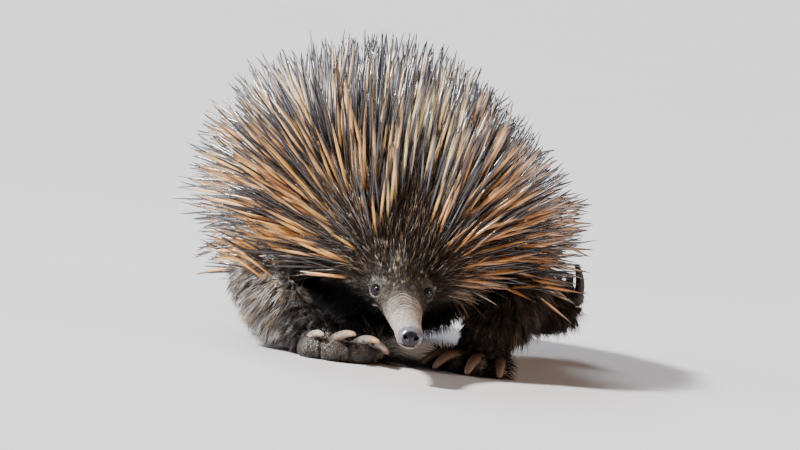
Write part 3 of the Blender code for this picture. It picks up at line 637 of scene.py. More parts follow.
def buildEyeSurround(sign, tree):
    # a wrinkled ring from the lid's edge out to the face, laid over the face grid
    eye, look = eyeCentre(sign), eyeLook(sign)
    high = unit(np.array((0, 0, 1.0)) - look * look[2])
    wide = np.cross(high, look) * sign
    columns = face["lidColumns"]
    reaches = np.concatenate([[3.65, 3.85, 4.0], np.arange(4.15, 7.4, 0.22), np.arange(7.5, 10.2, 0.45)]) * mm
    points, tone = np.zeros((2, len(reaches), columns, 3))
    for j, turn in enumerate(turns(columns)):
        squash = 1.0 - 0.05 * abs(math.sin(turn)) + 0.04 * math.cos(turn - 0.5)
        spoke = wide * math.cos(turn) + high * math.sin(turn)
        for i, reach in enumerate(reaches):
            out = reach * (squash if reach < 5 * mm else 1 + (squash - 1) * max(0.0, 1 - (reach / mm - 5) / 3))
            line = eye + spoke * out
            hit = tree.ray_cast(Vector(line + look * 0.03), Vector(-look), 0.05)[0]
            ground = float(np.dot(np.array(hit) - eye, look)) if hit else 0.0
            height, ripple, sink = lidRelief(sign, reach, turn, out, ground)
            points[i, j] = line + look * (height + ripple - sink)
            # painted shade: darker in the troughs of the wrinkles, towards the top of the ring, and over the whole ring
            # of the animal's left eye, on the side away from the light
            shade = (1.0 - 0.4 * (ripple < 0)) * (1.0 - 0.35 * float(ease(-0.2, 0.9, math.sin(turn))))
            fade = float(ease(4.4 * mm, 5.2 * mm, reach))
            ring = np.array(face["lidTone"]) * shade * (0.32 if sign == 1 else 1.0)
            if reach < 3.95 * mm:
                ring = np.array(face["lidEdgeTone"])
            tone[i, j] = ring * (1 - fade) + np.array(face["headTone"]) * fade
    flat = points.reshape(-1, 3)
    tone = tone.reshape(-1, 3) * (1 + 1.1 * softNoise(flat, 0.6 * mm, 6.0))[:, None]
    flat = flat + look * (softNoise(flat, 0.9 * mm, 2.0) * 0.14 * mm)[:, None]
    quads = gridQuads(len(reaches), columns)
    finish = np.tile((0.25, 0.7, 0.3 if sign == -1 else 0.1), (len(flat), 1))
    return flat, quads[:, ::-1] if sign > 0 else quads, np.zeros((0, 3), int), tone, finish


# the trunk, limbs and feet under the coat

trunk = {
    "voxel": 2.5, "footVoxel": 0.9, "rows": 90, "sides": 72,
    "furSkinTone": (0.030, 0.022, 0.018), "dustTone": (0.135, 0.108, 0.088),
    "footTones": {
        "forefootRight": (0.018, 0.0125, 0.0098), "forefootLeft": (0.062, 0.034, 0.021),
        "hindfootRight": (0.040, 0.020, 0.014), "hindfootLeft": (0.040, 0.020, 0.014),
    },
}


def limbBall(name, t):
    row = readSpline(limbRows[name], np.array(t))
    inset = np.interp(t, np.arange(5), animal["limbCoatDepth"])
    return spot(row[:3]), np.full(3, (row[3] - inset) * mm), np.identity(3)


def trunkForm():
    # a closed loft, and the limbs as chains of balls
    rows, sides = trunk["rows"], trunk["sides"]
    at = np.linspace(6.7, len(stations) - 1.02, rows)
    rings = bodyPoint(at[:, None], turns(sides)[None], skinInset(at)[:, None])
    points = np.concatenate([rings.reshape(-1, 3), [rings[0].mean(0)], [rings[-1].mean(0)]])
    tris = np.concatenate([fan(rows * sides, sides), fan(rows * sides + 1, sides, (rows - 1) * sides, flipped=True)])
    balls = [limbBall(name, t) for name in limbNames for t in np.linspace(0, 3.7, 22)]
    return balls, (points, gridQuads(rows, sides)[:, ::-1], tris)


def footBalls(name):
    foot, fleshy = feet[name], name == "forefootRight"
    palm, along = spot(foot["palm"]), unit(np.array(foot["along"], float))
    sideways = unit(np.cross(along, foot["up"]))
    up = np.cross(sideways, along)
    turn = np.stack([along, sideways, up], axis=1)
    halves = (np.array(foot["halves"]) - 0.6) * mm
    balls = [limbBall(foot["limb"], t) for t in np.linspace(2.9, 4.0, 8)]
    ankle, ankleHalves, _ = balls[-1]
    for share in np.linspace(0.15, 1.0, 7):
        balls.append((ankle + (palm - ankle) * share, ankleHalves + (halves - ankleHalves) * share, turn))
    for digit, (toeEnd, _, _) in enumerate(foot["digits"]):
        radius = foot["toe"] * mm * (0.88 if digit in (0, 4) else 1.0) - 0.3 * mm
        end = spot(toeEnd)
        if foot["planted"]:
            end[2] = radius - 0.6 * mm
        begin = palm + (end - palm) * 0.25
        begin = begin + up * dot(end - begin, up)
        for share in np.linspace(0, 1, 9):
            knuckle = 0.92 + 0.08 * math.cos((share - 0.93) * math.tau * 1.6)
            balls.append((begin + (end - begin) * share, np.full(3, radius * knuckle), np.identity(3)))
        if fleshy and digit:
            ahead = unit(end - begin)
            pad = np.stack([ahead, np.cross(up, ahead), up], axis=1)
            balls.append((end + up * 0.8 * mm - ahead * 0.6 * mm, np.array((7.4, 8.6, 7.6)) * mm, pad))
        # flesh between neighbouring toes
        if 0 < digit < 4:
            nextEnd = spot(foot["digits"][digit + 1][0])
            nextEnd[2] = end[2] if foot["planted"] else nextEnd[2]
            farthest, below, thick = (1.0, 0.2, 0.98) if fleshy else (0.86, 1.2, 0.74)
            for share in np.linspace(0.3, farthest, 6):
                between = (begin + (end - begin) * share) * 0.5 + (begin + (nextEnd - begin) * share) * 0.5
                balls.append((between - up * below * mm, np.full(3, radius * thick), np.identity(3)))
    return balls


def aheadOfPalm(points, foot):
    # how far a point lies from the palm towards the middle toes
    palm = spot(foot["palm"])
    toes = np.mean([spot(digit[0]) for digit in foot["digits"][1:4]], axis=0)
    return dot(points - palm, unit(toes - palm)) / mm


def toeCrease(points, foot):
    # 1 in the folds between neighbouring toes, and the wrinkles across each toe
    palm, gaps, reaches = spot(foot["palm"]), [], []
    for toeEnd, _, _ in foot["digits"]:
        end = spot(toeEnd)
        begin = palm + (end - palm) * 0.2
        along = unit(end - begin)
        reach = np.clip(dot(points - begin, along), 0, None)
        gaps.append(np.linalg.norm(points - begin - along * reach[:, None], axis=1))
        reaches.append(reach)
    nearest = np.argmin(np.stack(gaps), axis=0)
    reach = np.stack(reaches)[nearest, np.arange(len(points))]
    wrinkle = np.sin(reach / (3.0 * mm) * math.tau + 4.0 * softNoise(points, 7 * mm, 11.0) + nearest)
    wrinkle = wrinkle * (0.5 + softNoise(points, 4 * mm, 13.0))
    gaps = np.sort(np.stack(gaps), axis=0) / mm
    front = ease(2, 8, aheadOfPalm(points, foot))
    return np.exp(-((gaps[1] - gaps[0]) / 1.1) ** 2) * front, wrinkle * front


def footBareness(points, foot):
    # 1 on the bare toes and palm, 0 where the limb's hair begins
    palm, ankle = spot(foot["palm"]), spot(limbRows[foot["limb"]][-1][:3])
    high = dot(points - palm, unit(ankle - palm)) / mm
    hairLine = (7.0, 1.0) if foot["planted"] else (-7.0, -13.0)
    return ease(*hairLine, high - 0.35 * aheadOfPalm(points, foot))


def footBlock(name):
    foot, dusted = feet[name], name == "forefootRight"
    points, quads, tris = fusedBalls(footBalls(name), trunk["footVoxel"] * mm, 3)
    crease = (softNoise(points, 3.0 * mm, 7.0) * 0.4 + softNoise(points, 6.0 * mm, 17.0) * 0.9) * mm
    points = points + unit(points - spot(foot["palm"])) * crease[:, None]
    if foot["planted"]:
        points[:, 2] = np.maximum(points[:, 2], 0.1 * mm)
    fold, wrinkle = toeCrease(points, foot)
    points = points - unit(points - spot(foot["palm"])) * ((fold * 2.4 - wrinkle * 0.45) * mm)[:, None]
    bare = footBareness(points, foot)
    # painted shade: the toes nearer the beak are darker, as under the head's shade; dust and pale grit are laid more
    # thickly on the outer toes with it
    clearOfHeadShade = ease(-20, -52, points[:, 0] / mm - animal["shift"][0])
    tone = np.array(trunk["footTones"][name]) * (1 + 0.25 * softNoise(points, 5 * mm, 1.0)[:, None])
    dust = ease(0.1, 0.6, 0.6 * softNoise(points, 4 * mm, 4.0) + 0.6 * softNoise(points, 1.6 * mm, 14.0))
    dust = dust * (0.25 + 0.75 * clearOfHeadShade if dusted else 0.2)
    tone = blendTo(tone * (0.55 + 0.65 * clearOfHeadShade)[:, None], np.array(trunk["dustTone"]), dust)
    # painted shade in the folds between the toes, and painted light and shade across each wrinkle
    tone = tone * (1 - 0.85 * fold)[:, None] * (1 + 0.5 * wrinkle)[:, None]
    tone = blendTo(np.array(trunk["furSkinTone"]), tone, bare)
    grit = bare * (0.25 + 0.75 * clearOfHeadShade) * ease(1, 9, points[:, 2] / mm) * (0.8 if dusted else 0.2)
    return points, quads, tris, tone, np.stack([0 * bare, 0.6 * bare, grit], -1)


def buildSkin():
    facePoints, faceQuads, faceTris, *where = buildFace()
    tree = BVHTree.FromPolygons(facePoints.tolist(), faceQuads.tolist())
    blocks = [(facePoints, faceQuads, faceTris, *paintFace(facePoints, *where))]
    blocks += [buildEyeSurround(sign, tree) for sign in (1, -1)]
    print("face built")
    balls, loft = trunkForm()
    points, quads, tris = fusedBalls(balls, trunk["voxel"] * mm, 6, loft)
    tone = np.tile(np.array(trunk["furSkinTone"]), (len(points), 1))
    blocks.append((points, quads, tris, tone, np.zeros((len(points), 3))))
    blocks += [footBlock(name) for name in feet]
    print("trunk and feet built")
    starts = np.cumsum([0] + [len(block[0]) for block in blocks])
    quads, tris = (np.concatenate([block[k] + start for block, start in zip(blocks, starts)]) for k in (1, 2))
    points, tone, finish = (np.concatenate([block[k] for block in blocks]) for k in (0, 3, 4))
    mesh = meshFrom("skin", points, quads, tris)
    paint(mesh, "Tone", np.clip(tone, 0.002, 0.9))
    paint(mesh, "Finish", np.clip(finish, 0, 1))
    skin = objectFrom("skin", mesh, finishes["skin"])
    mesh.uv_layers.new(name="OFBake")
    bpy.context.view_layer.objects.active = skin
    skin.select_set(True)
    bpy.ops.object.mode_set(mode="EDIT")
    bpy.ops.mesh.select_all(action="SELECT")
    bpy.ops.uv.smart_project(angle_limit=math.radians(66), island_margin=0.0005)
    bpy.ops.object.mode_set(mode="OBJECT")
    skin.select_set(False)
    print("skin joined:", len(mesh.polygons), "faces")
    return skin, len(facePoints)


skin, facePointCount = buildSkin()
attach(skin, "root")
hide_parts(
    "beak", "head", "torso", "tail", "foreleg_left", "foreleg_right", "hindleg_left", "hindleg_right",
    "forefoot_left", "forefoot_right", "hindfoot_left", "hindfoot_right",
)


# eyes: a ball with a clear bulge in front, dark brown round a black pupil

eyes = {
    "radius": 4.8, "bulge": 0.35, "iris": 3.2, "pupil": 1.8,
    "whiteTone": (0.006, 0.005, 0.005), "irisTone": (0.012, 0.010, 0.011), "pupilTone": (0.003, 0.003, 0.004),
}


def addPiece(name, mesh, finish, slot, *nodes):
    made = objectFrom(name, mesh, finishes[finish])
    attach(made, "root")
    if nodes:
        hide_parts(*nodes)


def buildEye(name, sign, node):
    points, tris = ballShape(5)
    facing = points @ eyeLook(sign)
    off = np.sqrt(np.clip(1 - facing ** 2, 0, 1)) * eyes["radius"]
    front = facing > 0
    swell = eyes["bulge"] * np.clip(1 - (off / eyes["iris"]) ** 2, 0, 1) * front
    place = eyeCentre(sign) + points * (eyes["radius"] + swell)[:, None] * mm
    iris = ease(eyes["iris"], eyes["iris"] - 0.4, off) * front
    pupil = ease(eyes["pupil"], eyes["pupil"] - 0.3, off) * front
    tone = blendTo(np.array(eyes["whiteTone"]), np.array(eyes["irisTone"]), iris)
    mesh = meshFrom(name, place, (), tris)
    paint(mesh, "Tone", blendTo(tone, np.array(eyes["pupilTone"]), pupil))
    around = np.arctan2(points[:, 0], -points[:, 1]) / math.tau + 0.5
    setUv(mesh, np.stack([around, points[:, 2] * 0.5 + 0.5], -1))
    addPiece(name, mesh, "eye", "eye", node)


buildEye("eyeLeft", 1, "eye_left")
buildEye("eyeRight", -1, "eye_right")
print("eyes built")


# ears: an upright slit with a low rolled rim on each side, deep in the hair

ears = {
    "station": 6.98, "angle": 22.0, "tall": 5.2, "wide": 1.5, "columns": 40,
    # share of the slit's size, further out, height over the skin, tone; the tone darkens with depth, painted shade in
    # the slit and where the rim sinks into the hair
    "rings": [
        (0.3, 0.0, -2.5, (0.004, 0.003, 0.003)), (0.7, 0.0, -2.0, (0.005, 0.004, 0.004)),
        (0.92, 0.0, -0.6, (0.012, 0.008, 0.007)), (1.0, 0.2, 0.4, (0.015, 0.010, 0.008)),
        (1.0, 0.6, 0.9, (0.025, 0.017, 0.014)), (1.0, 1.1, 0.9, (0.028, 0.019, 0.015)),
        (1.0, 1.5, 0.4, (0.022, 0.015, 0.012)), (1.0, 1.9, -0.8, (0.015, 0.011, 0.009)),
        (0.7, 1.2, -3.0, (0.010, 0.008, 0.007)),
    ],
}


def earFrame(sign):
    at, angle = np.array(ears["station"]), np.radians(ears["angle"] if sign > 0 else 180 - ears["angle"])
    _, normal, along = surfaceFrame(at, angle)
    return bodyPoint(at, angle, skinInset(at)), normal, along, np.cross(normal, along)


def buildEar(name, sign, node):
    centre, normal, along, around = earFrame(sign)
    columns, rings = ears["columns"], len(ears["rings"])
    turn, points, tones = turns(columns), [], []
    uneven = 1 + 0.08 * np.sin(turn * 3 + 0.7)
    for share, out, height, tone in ears["rings"]:
        tall, wide = ears["tall"] * share + out, ears["wide"] * share + out
        rise = height + (0.5 * np.sin(turn * 2 + 1.0) if height > 0 else 0.0 * turn)
        flat = around * (np.cos(turn) * tall * uneven)[:, None] + along * (np.sin(turn) * wide)[:, None]
        points.append(centre + (flat + normal * rise[:, None]) * mm)
        tones.append(np.tile(np.array(tone), (columns, 1)))
    flat = np.concatenate(points + [[points[0].mean(0)], [points[-1].mean(0)]])
    quads, first = gridQuads(rings, columns), fan(rings * columns, columns, flipped=True)
    tris = np.concatenate([first, fan(rings * columns + 1, columns, (rings - 1) * columns)])
    if sign < 0:
        quads, tris = quads[:, ::-1], tris[:, ::-1]
    mesh = meshFrom(name, flat, quads, tris)
    paint(mesh, "Tone", np.concatenate(tones + [tones[0][:1], tones[-1][:1]]))
    away = flat - centre
    setUv(mesh, np.stack([dot(away, around), dot(away, along)], -1) / (24 * mm) + 0.5)
    addPiece(name, mesh, "skin", "coat", node)


buildEar("earLeft", 1, "ear_left")
buildEar("earRight", -1, "ear_right")
print("ears built")


# claws: tapered horn with a rounded back and a hollow below, five on each foot

claws = {
    "rows": 30, "sides": 28, "soil": (0.055, 0.040, 0.030),
    # how much thicker each claw is at its root than a plain horn
    "stout": {
        "forefootRight": [0.2] * 5, "forefootLeft": [0.25] * 5,
        "hindfootRight": [0.1] * 5, "hindfootLeft": [0.1, 0.12, 0.1, 0.1, 0.1],
    },
    "tones": {  # at the root, along the middle, at the tip
        # on the right forefoot the claws nearer the beak are darker: painted shade under the head
        "forefootRight": [
            [(0.045, 0.036, 0.032), (0.10, 0.075, 0.06), (0.22, 0.15, 0.11)],
            [(0.028, 0.026, 0.028), (0.055, 0.046, 0.046), (0.16, 0.095, 0.075)],
            [(0.060, 0.064, 0.070), (0.17, 0.165, 0.165), (0.36, 0.215, 0.115)],
            [(0.055, 0.050, 0.048), (0.24, 0.185, 0.15), (0.40, 0.245, 0.17)],
            [(0.16, 0.13, 0.11), (0.42, 0.335, 0.285), (0.44, 0.33, 0.27)],
        ],
        "forefootLeft": [[(0.034, 0.017, 0.009), (0.085, 0.042, 0.023), (0.17, 0.098, 0.062)]] * 5,
        "hindfootRight": [[(0.030, 0.018, 0.013), (0.05, 0.03, 0.022), (0.10, 0.065, 0.048)]] * 5,
        "hindfootLeft": [[(0.036, 0.019, 0.014), (0.030, 0.015, 0.013), (0.022, 0.012, 0.012)]] * 5,
    },
}


def clawCentres(name, digit, t):
    foot = feet[name]
    toeEnd, tipPoint, arch = foot["digits"][digit]
    up, toeEnd, tipPoint = unit(np.array(foot["up"], float)), spot(toeEnd), spot(tipPoint)
    reach = tipPoint - toeEnd
    length = np.linalg.norm(reach)
    rise = 0.68 if name == "forefootRight" else 0.42
    root = toeEnd + up * foot["toe"] * mm * rise - reach / length * foot["toe"] * mm * 0.45
    bow = unit(np.cross(np.cross(reach, up), reach)) * length * arch
    if name == "hindfootLeft":
        bow = np.array((1.0, 0, 0)) * length * arch * (1 if digit == 1 else 0.3)
    middle = (root + tipPoint) / 2 + bow * 2
    t = t[:, None]
    return root * (1 - t) ** 2 + middle * 2 * t * (1 - t) + tipPoint * t * t, up


def buildClaws(name, nodes):
    foot, rows, sides = feet[name], claws["rows"], claws["sides"]
    t, turn = np.linspace(0, 1, rows), turns(sides)
    sine = np.sin(turn)
    ridge = np.where(sine > 0, 1 + 0.12 * sine ** 2, 1 - 0.28 * sine ** 2)
    end = np.sqrt(np.clip(1 - ((t - 0.93) / 0.07).clip(0, 1) ** 2, 0.0, 1))
    blocks = []
    for digit in range(5):
        low, mid, high = (np.array(c) for c in claws["tones"][name][digit])
        centres, up = clawCentres(name, digit, t)
        ahead = unit(np.gradient(centres, axis=0))
        sideways = unit(np.cross(ahead, up))
        upward = np.cross(sideways, ahead)
        thin = 0.85 if digit in (0, 4) else 1.0
        taper = (1.0 - 0.52 * t ** 3) * thin * mm * (1 + claws["stout"][name][digit] * (1 - t))
        taper = taper * np.maximum(end, 0.03)
        wide, tall = foot["claw"][0] * taper, foot["claw"][1] * taper
        ring = (
            centres[:, None]
            + sideways[:, None] * (wide[:, None] * np.cos(turn))[..., None]
            + upward[:, None] * (tall[:, None] * sine * ridge)[..., None]
        )
        groove = 0.05 * np.sin(turn * 9)[None, :] * mm * ease(0.9, 0.3, t)[:, None]
        ring = ring + (ring - centres[:, None]) * groove[..., None] / (2 * mm)
        points = np.concatenate([ring.reshape(-1, 3), [centres[0]], [centres[-1] + ahead[-1] * 0.02 * mm]])
        lowHalf, highHalf = blendTo(low, mid, ease(0.1, 0.45, t)), blendTo(mid, high, ease(0.5, 0.95, t))
        shade = np.where(t[:, None] < 0.45, lowHalf, highHalf)
        edge = 1 + 0.22 * np.abs(np.cos(turn)) - 0.08
        streak = 1 + 0.09 * np.sin(turn * 5 + digit) + 0.07 * np.sin(turn * 13 + 2 * digit)
        soil = softNoise(ring.reshape(-1, 3), 2.2 * mm, 4.0 + digit).reshape(ring.shape[:2])
        soil = ease(0.05, 0.35, soil + 0.45 * (0.42 - t)[:, None])
        colour = shade[:, None] * edge[None, :, None] * streak[None, :, None]
        colour = blendTo(colour, np.array(claws["soil"]), soil * 0.65)
        uv = np.stack(np.meshgrid(turn / math.tau * 0.16 + 0.2 * digit + 0.01, t * 0.95 + 0.02), -1).reshape(-1, 2)
        colour = np.concatenate([colour.reshape(-1, 3), [low], [high]])
        blocks.append((points, colour, np.concatenate([uv, [uv[0]], [uv[-1]]])))
    points, colour, uv = (np.concatenate(parts) for parts in zip(*blocks))
    quads = gridQuads(rows, sides)[:, ::-1]
    root, tip = fan(rows * sides, sides), fan(rows * sides + 1, sides, (rows - 1) * sides, flipped=True)
    starts = range(0, len(points), rows * sides + 2)
    faces = (quads, np.concatenate([root, tip]))
    quads, tris = (np.concatenate([kind + start for start in starts]) for kind in faces)
    mesh = meshFrom("claws", points, quads, tris)
    paint(mesh, "Tone", np.clip(colour, 0.004, 0.9))
    setUv(mesh, uv)
    addPiece("claws" + name[0].upper() + name[1:], mesh, "claw", "claw", *nodes)


for footName, nodeName in (
    ("forefootRight", "forefoot_right"), ("forefootLeft", "forefoot_left"),
    ("hindfootRight", "hindfoot_right"), ("hindfootLeft", "hindfoot_left"),
):
    buildClaws(footName, [f"{nodeName}_claw_{k}" for k in range(1, 6)])
print("claws built")


# where the coat can grow: every triangle of the skin with its place on the body

def readSkin():
    mesh = skin.data
    mesh.calc_loop_triangles()
    points = readArray(mesh.vertices, "co", 3).astype(float)
    normals = readArray(mesh.vertex_normals, "vector", 3).astype(float)
    corners = readArray(mesh.loop_triangles, "vertices", 3, np.int32)
    loops = readArray(mesh.loop_triangles, "loops", 3, np.int32)
    return points, normals, corners, readArray(mesh.uv_layers["OFBake"].uv, "vector", 2)[loops]


def onLimb(name):
    return triLimb == limbNames.index(name)


skinPoints, skinNormals, skinTris, skinUvs = readSkin()
triPoints = skinPoints[skinTris]
triCentres = triPoints.mean(1)
triSides = triPoints[:, 1:] - triPoints[:, :1]
triAreas = np.linalg.norm(np.cross(triSides[:, 0], triSides[:, 1]), axis=1) / 2
triAt, triAngle, triProud = whereOnBody(triCentres)
triLimb, triAlong, triGap = whereOnLimbs(triCentres)
onFace = skinTris[:, 0] < facePointCount
onTrunk = (triAt > 7.3) & (triAt < 16.2) & ~onFace
triBare = np.zeros(len(triCentres))
for foot in feet.values():
    near = np.linalg.norm(triCentres - spot(foot["palm"]), axis=1) < 45 * mm
    near = near & (triAlong > 3.2) & onLimb(foot["limb"])
    triBare = np.maximum(triBare, footBareness(triCentres, foot) * near)
limbShare = ease(-6.2, -3.0, triProud / mm) * (triGap < 2 * mm) * (triAt > 7.6) * ~onFace
print("skin read:", len(skinTris), "triangles")


def pickRoots(weights, count, rng):
    chance = triAreas * weights
    chosen = rng.choice(len(chance), size=count, p=chance / chance.sum())
    a, b = rng.random(count), rng.random(count)
    over = a + b > 1
    a[over], b[over] = 1 - a[over], 1 - b[over]
    share = np.stack([1 - a - b, a, b], -1)[..., None]
    place = (triPoints[chosen] * share).sum(1)
    normal = unit((skinNormals[skinTris[chosen]] * share).sum(1))
    uv = (skinUvs[chosen] * share).sum(1)
    return chosen, place, normal, uv


def growTufts(name, roots, ways, lengths, widths, bends, tones, uvs, shape, sides=3, finish="fur"):
    # each tuft is one closed, tapered, curved spike; shape lists how thick it is at each share of its length
    count, rows = len(roots), len(shape)
    if not count:
        return
    reference = np.where(np.abs(ways[:, 2:3]) > 0.9, (1.0, 0, 0), (0, 0, 1.0))
    sideways = unit(np.cross(ways, reference))
    upward = np.cross(sideways, ways)
    spin = (np.arange(count) * 2.399)[:, None]
    first = sideways * np.cos(spin) + upward * np.sin(spin)
    second = -sideways * np.sin(spin) + upward * np.cos(spin)
    turn = turns(sides)
    circle = first[:, None] * np.cos(turn)[None, :, None] + second[:, None] * np.sin(turn)[None, :, None]

    def centre(t):
        return roots + ways * (lengths * t)[:, None] + bends * (lengths * t * t)[:, None]

    rings = [centre(t)[:, None] + circle * (widths / 2 * thick)[:, None, None] for t, thick in shape]
    block = np.concatenate(rings + [centre(1.0)[:, None]], axis=1)
    block[..., 2] = np.maximum(block[..., 2], 0.3 * mm)
    quads = gridQuads(rows, sides)[:, ::-1]
    tris = fan(rows * sides, sides, (rows - 1) * sides, flipped=True)
    tris = np.concatenate([tris, [[0, k, k + 1] for k in range(1, sides - 1)]])
    step = np.arange(count)[:, None, None] * block.shape[1]
    quads, tris = (quads[None] + step).reshape(-1, 4), (tris[None] + step).reshape(-1, 3)
    mesh = meshFrom(name, block.reshape(-1, 3), quads, tris)
    # colours from the root by the middle to the tip, with a crown before the tip where a fourth is given
    ramp, darkens = [], (0.70, 0.90) if len(tones) > 3 else (0.55, 0.95)
    for t in [t for t, _ in shape] + [1.0]:
        colour = blendTo(tones[0], tones[1], min(t / 0.5, 1.0))
        if len(tones) > 3:
            colour = blendTo(colour, tones[3], ease(0.35, 0.75, t))
        ramp.append(blendTo(colour, tones[2], ease(*darkens, t)))
    colour = [np.repeat(tone[:, None], sides if k < rows else 1, axis=1) for k, tone in enumerate(ramp)]
    paint(mesh, "Tone", np.clip(np.concatenate(colour, axis=1).reshape(-1, 3), 0.002, 0.95))
    # a small patch of the skin's own layout for each
    patch = np.array([[math.cos(a), math.sin(a)] for _ in range(rows) for a in turn] + [[0, 0]])
    spread = np.array([0.0015 * (1 - 0.12 * k) for k in range(rows) for _ in range(sides)] + [0.0])
    setUv(mesh, (uvs[:, None] + patch[None] * spread[None, :, None]).reshape(-1, 2))
    addPiece(name, mesh, finish, "coat")
    print(name, count, "tufts,", len(quads) * 2 + len(tris), "triangles")


def nearestOf(places, points):
    # which of the points is nearest to each place
    tree = KDTree(len(points))
    for k, point in enumerate(points):
        tree.insert(point, k)
    tree.balance()
    return np.array([tree.find(place)[1] for place in places.tolist()])


def gatherTips(roots, tips, every, pull):
    # tufts near one another draw together at their tips, as hair does
    seeds = np.arange(0, len(roots), every)
    leader = seeds[nearestOf(roots, roots[seeds])]
    return tips + (tips[leader] - tips) * pull[:, None], leader


def lieOfLimb(which, along):
    ways = np.zeros((len(which), 3))
    for number, name in enumerate(limbNames):
        rows = limbRows[name][:, :3]
        ahead = unit(readSpline(rows, along + 0.15) - readSpline(rows, along - 0.15))
        ways = np.where((which == number)[:, None], ahead, ways)
    return ways


def flatten(direction, normal):
    return unit(direction - normal * dot(direction, normal)[:, None])


# spines

spines = {
    "tries": 150000, "seed": 41,
    "spacing": [(6.9, 2.4), (7.4, 3.0), (8.0, 3.6), (9.5, 4.2), (12, 4.5), (16.0, 4.5)],
    "radius": 1.12, "darkRadius": 0.80, "root": 8.0,
    "length": [(6.9, 16), (7.2, 28), (7.6, 41), (8.3, 49), (9.3, 52), (12.0, 53), (15.0, 50), (16.0, 42)],
    "lean": [(7.2, 38), (8.0, 41), (9.5, 45), (12.0, 50), (15.0, 56), (16.0, 62)],
    "lowest": [(6.9, 4), (7.2, -8), (8.0, -14), (9.5, -25), (12.0, -30), (15.0, -25), (16.0, -10)],
    "lowerOnRight": 10.0, "upright": 0.55,
    # on the upper left of the trunk they lie flatter and are shorter: angle, spread, degrees, share
    "flatter": (50.0, 35.0, 15.0, 0.16),
    # half width in degrees of the bare parting over the nape, by station
    "parting": [(6.9, 60), (7.3, 31), (7.7, 15), (8.2, 6), (8.6, 0)],
    # how many degrees higher they start on the left, above the raised foot
    "higherOnLeft": [(8.6, 0), (9.6, 8), (11.0, 22), (16.0, 22)],
    # thinner over the nape, by station
    "slimmer": [(6.9, 0.5), (7.3, 0.75), (8.0, 1.0), (16, 1.0)],
    "leftShade": (0.72, 0.64, 0.62), "goldShare": 0.41,
    "shape": [(0.0, 0.55), (0.16, 0.82), (0.38, 1.0), (0.62, 0.98), (0.81, 0.70), (0.93, 0.36)],
    "gold": (0.82, 0.37, 0.075), "orange": (0.44, 0.125, 0.025), "cream": (0.92, 0.54, 0.22),
    # pale and skySheen are painted back light: the paler, bluer tones laid over the top of the coat
    "pale": (0.93, 0.80, 0.68), "dark": (0.016, 0.009, 0.006), "skySheen": (0.150, 0.155, 0.205),
    "tip": (0.011, 0.008, 0.008),
}
neighbours = [(i, j, k) for i in (-1, 0, 1) for j in (-1, 0, 1) for k in (-1, 0, 1)]


def spacedOut(places, gaps):
    # keeps each place that is no nearer to those kept before it than its gap
    cell, cells, kept = 6 * mm, {}, []
    for number, (p, gap) in enumerate(zip(places.tolist(), gaps.tolist())):
        key = [int(part // cell) for part in p]
        near = (q for i, j, k in neighbours for q in cells.get((key[0] + i, key[1] + j, key[2] + k), ()))
        if not any((p[0] - q[0]) ** 2 + (p[1] - q[1]) ** 2 + (p[2] - q[2]) ** 2 < gap * gap for q in near):
            cells.setdefault(tuple(key), []).append(p)
            kept.append(number)
    return kept


def spineRoots(rng):
    at = rng.uniform(6.95, 15.9, spines["tries"])
    lowest = np.radians(table(spines["lowest"], at))
    angle = lowest + rng.random(len(at)) * (math.pi - 2 * lowest + math.radians(spines["lowerOnRight"]))
    step = 0.02
    here = bodyPoint(at, angle)
    area = np.linalg.norm(np.cross(bodyPoint(at + step, angle) - here, bodyPoint(at, angle + step) - here), axis=1)
    area = area * (math.pi - 2 * lowest + 0.17)
    fromTop = np.abs(np.degrees(angle) - 90)
    level = np.exp(-(((fromTop - 90) / 50) ** 2))
    keep = (rng.random(len(at)) < area / area.max() * 1.4) & (fromTop > table(spines["parting"], at))
    keep &= (at > 6.95 + 0.35 * level) & (np.degrees(angle - lowest) > table(spines["higherOnLeft"], at))
    at, angle, here = at[keep], angle[keep], here[keep]
    chosen = spacedOut(here, table(spines["spacing"], at) * mm)
    return at[chosen], angle[chosen]


def flatShare(at, angle):
    middle, spread, _, _ = spines["flatter"]
    return np.exp(-((np.degrees(angle) - middle) / spread) ** 2) * np.clip((at - 8.5) / 1.5, 0, 1)


def leanWays(at, angle, rng, spread, sway, extra=0.0):
    here, normal, along = surfaceFrame(at, angle)
    side = np.cross(normal, along)
    lean = table(spines["lean"], at) + spines["flatter"][2] * flatShare(at, angle) + extra
    lean = np.radians(lean + rng.normal(0, spread, len(at)) + softNoise(here, 34 * mm, 8.0) * 8)
    swing = np.radians(rng.normal(0, sway, len(at)) + softNoise(here, 26 * mm, 2.0) * 14.0)
    flat = normal * np.cos(lean)[:, None] + along * np.sin(lean)[:, None]
    ways = unit(flat * np.cos(swing)[:, None] + side * np.sin(swing)[:, None])
    # over the front of the back they stand more upright than the round of the body would have them
    upright = spines["upright"] * (1 - ease(0.45, 0.95, np.abs(np.cos(angle)))) * ease(12.5, 10.5, at)
    level = bodyFrame(at)[1]
    return here, normal, unit(ways - level * (dot(ways, level) * upright)[:, None])


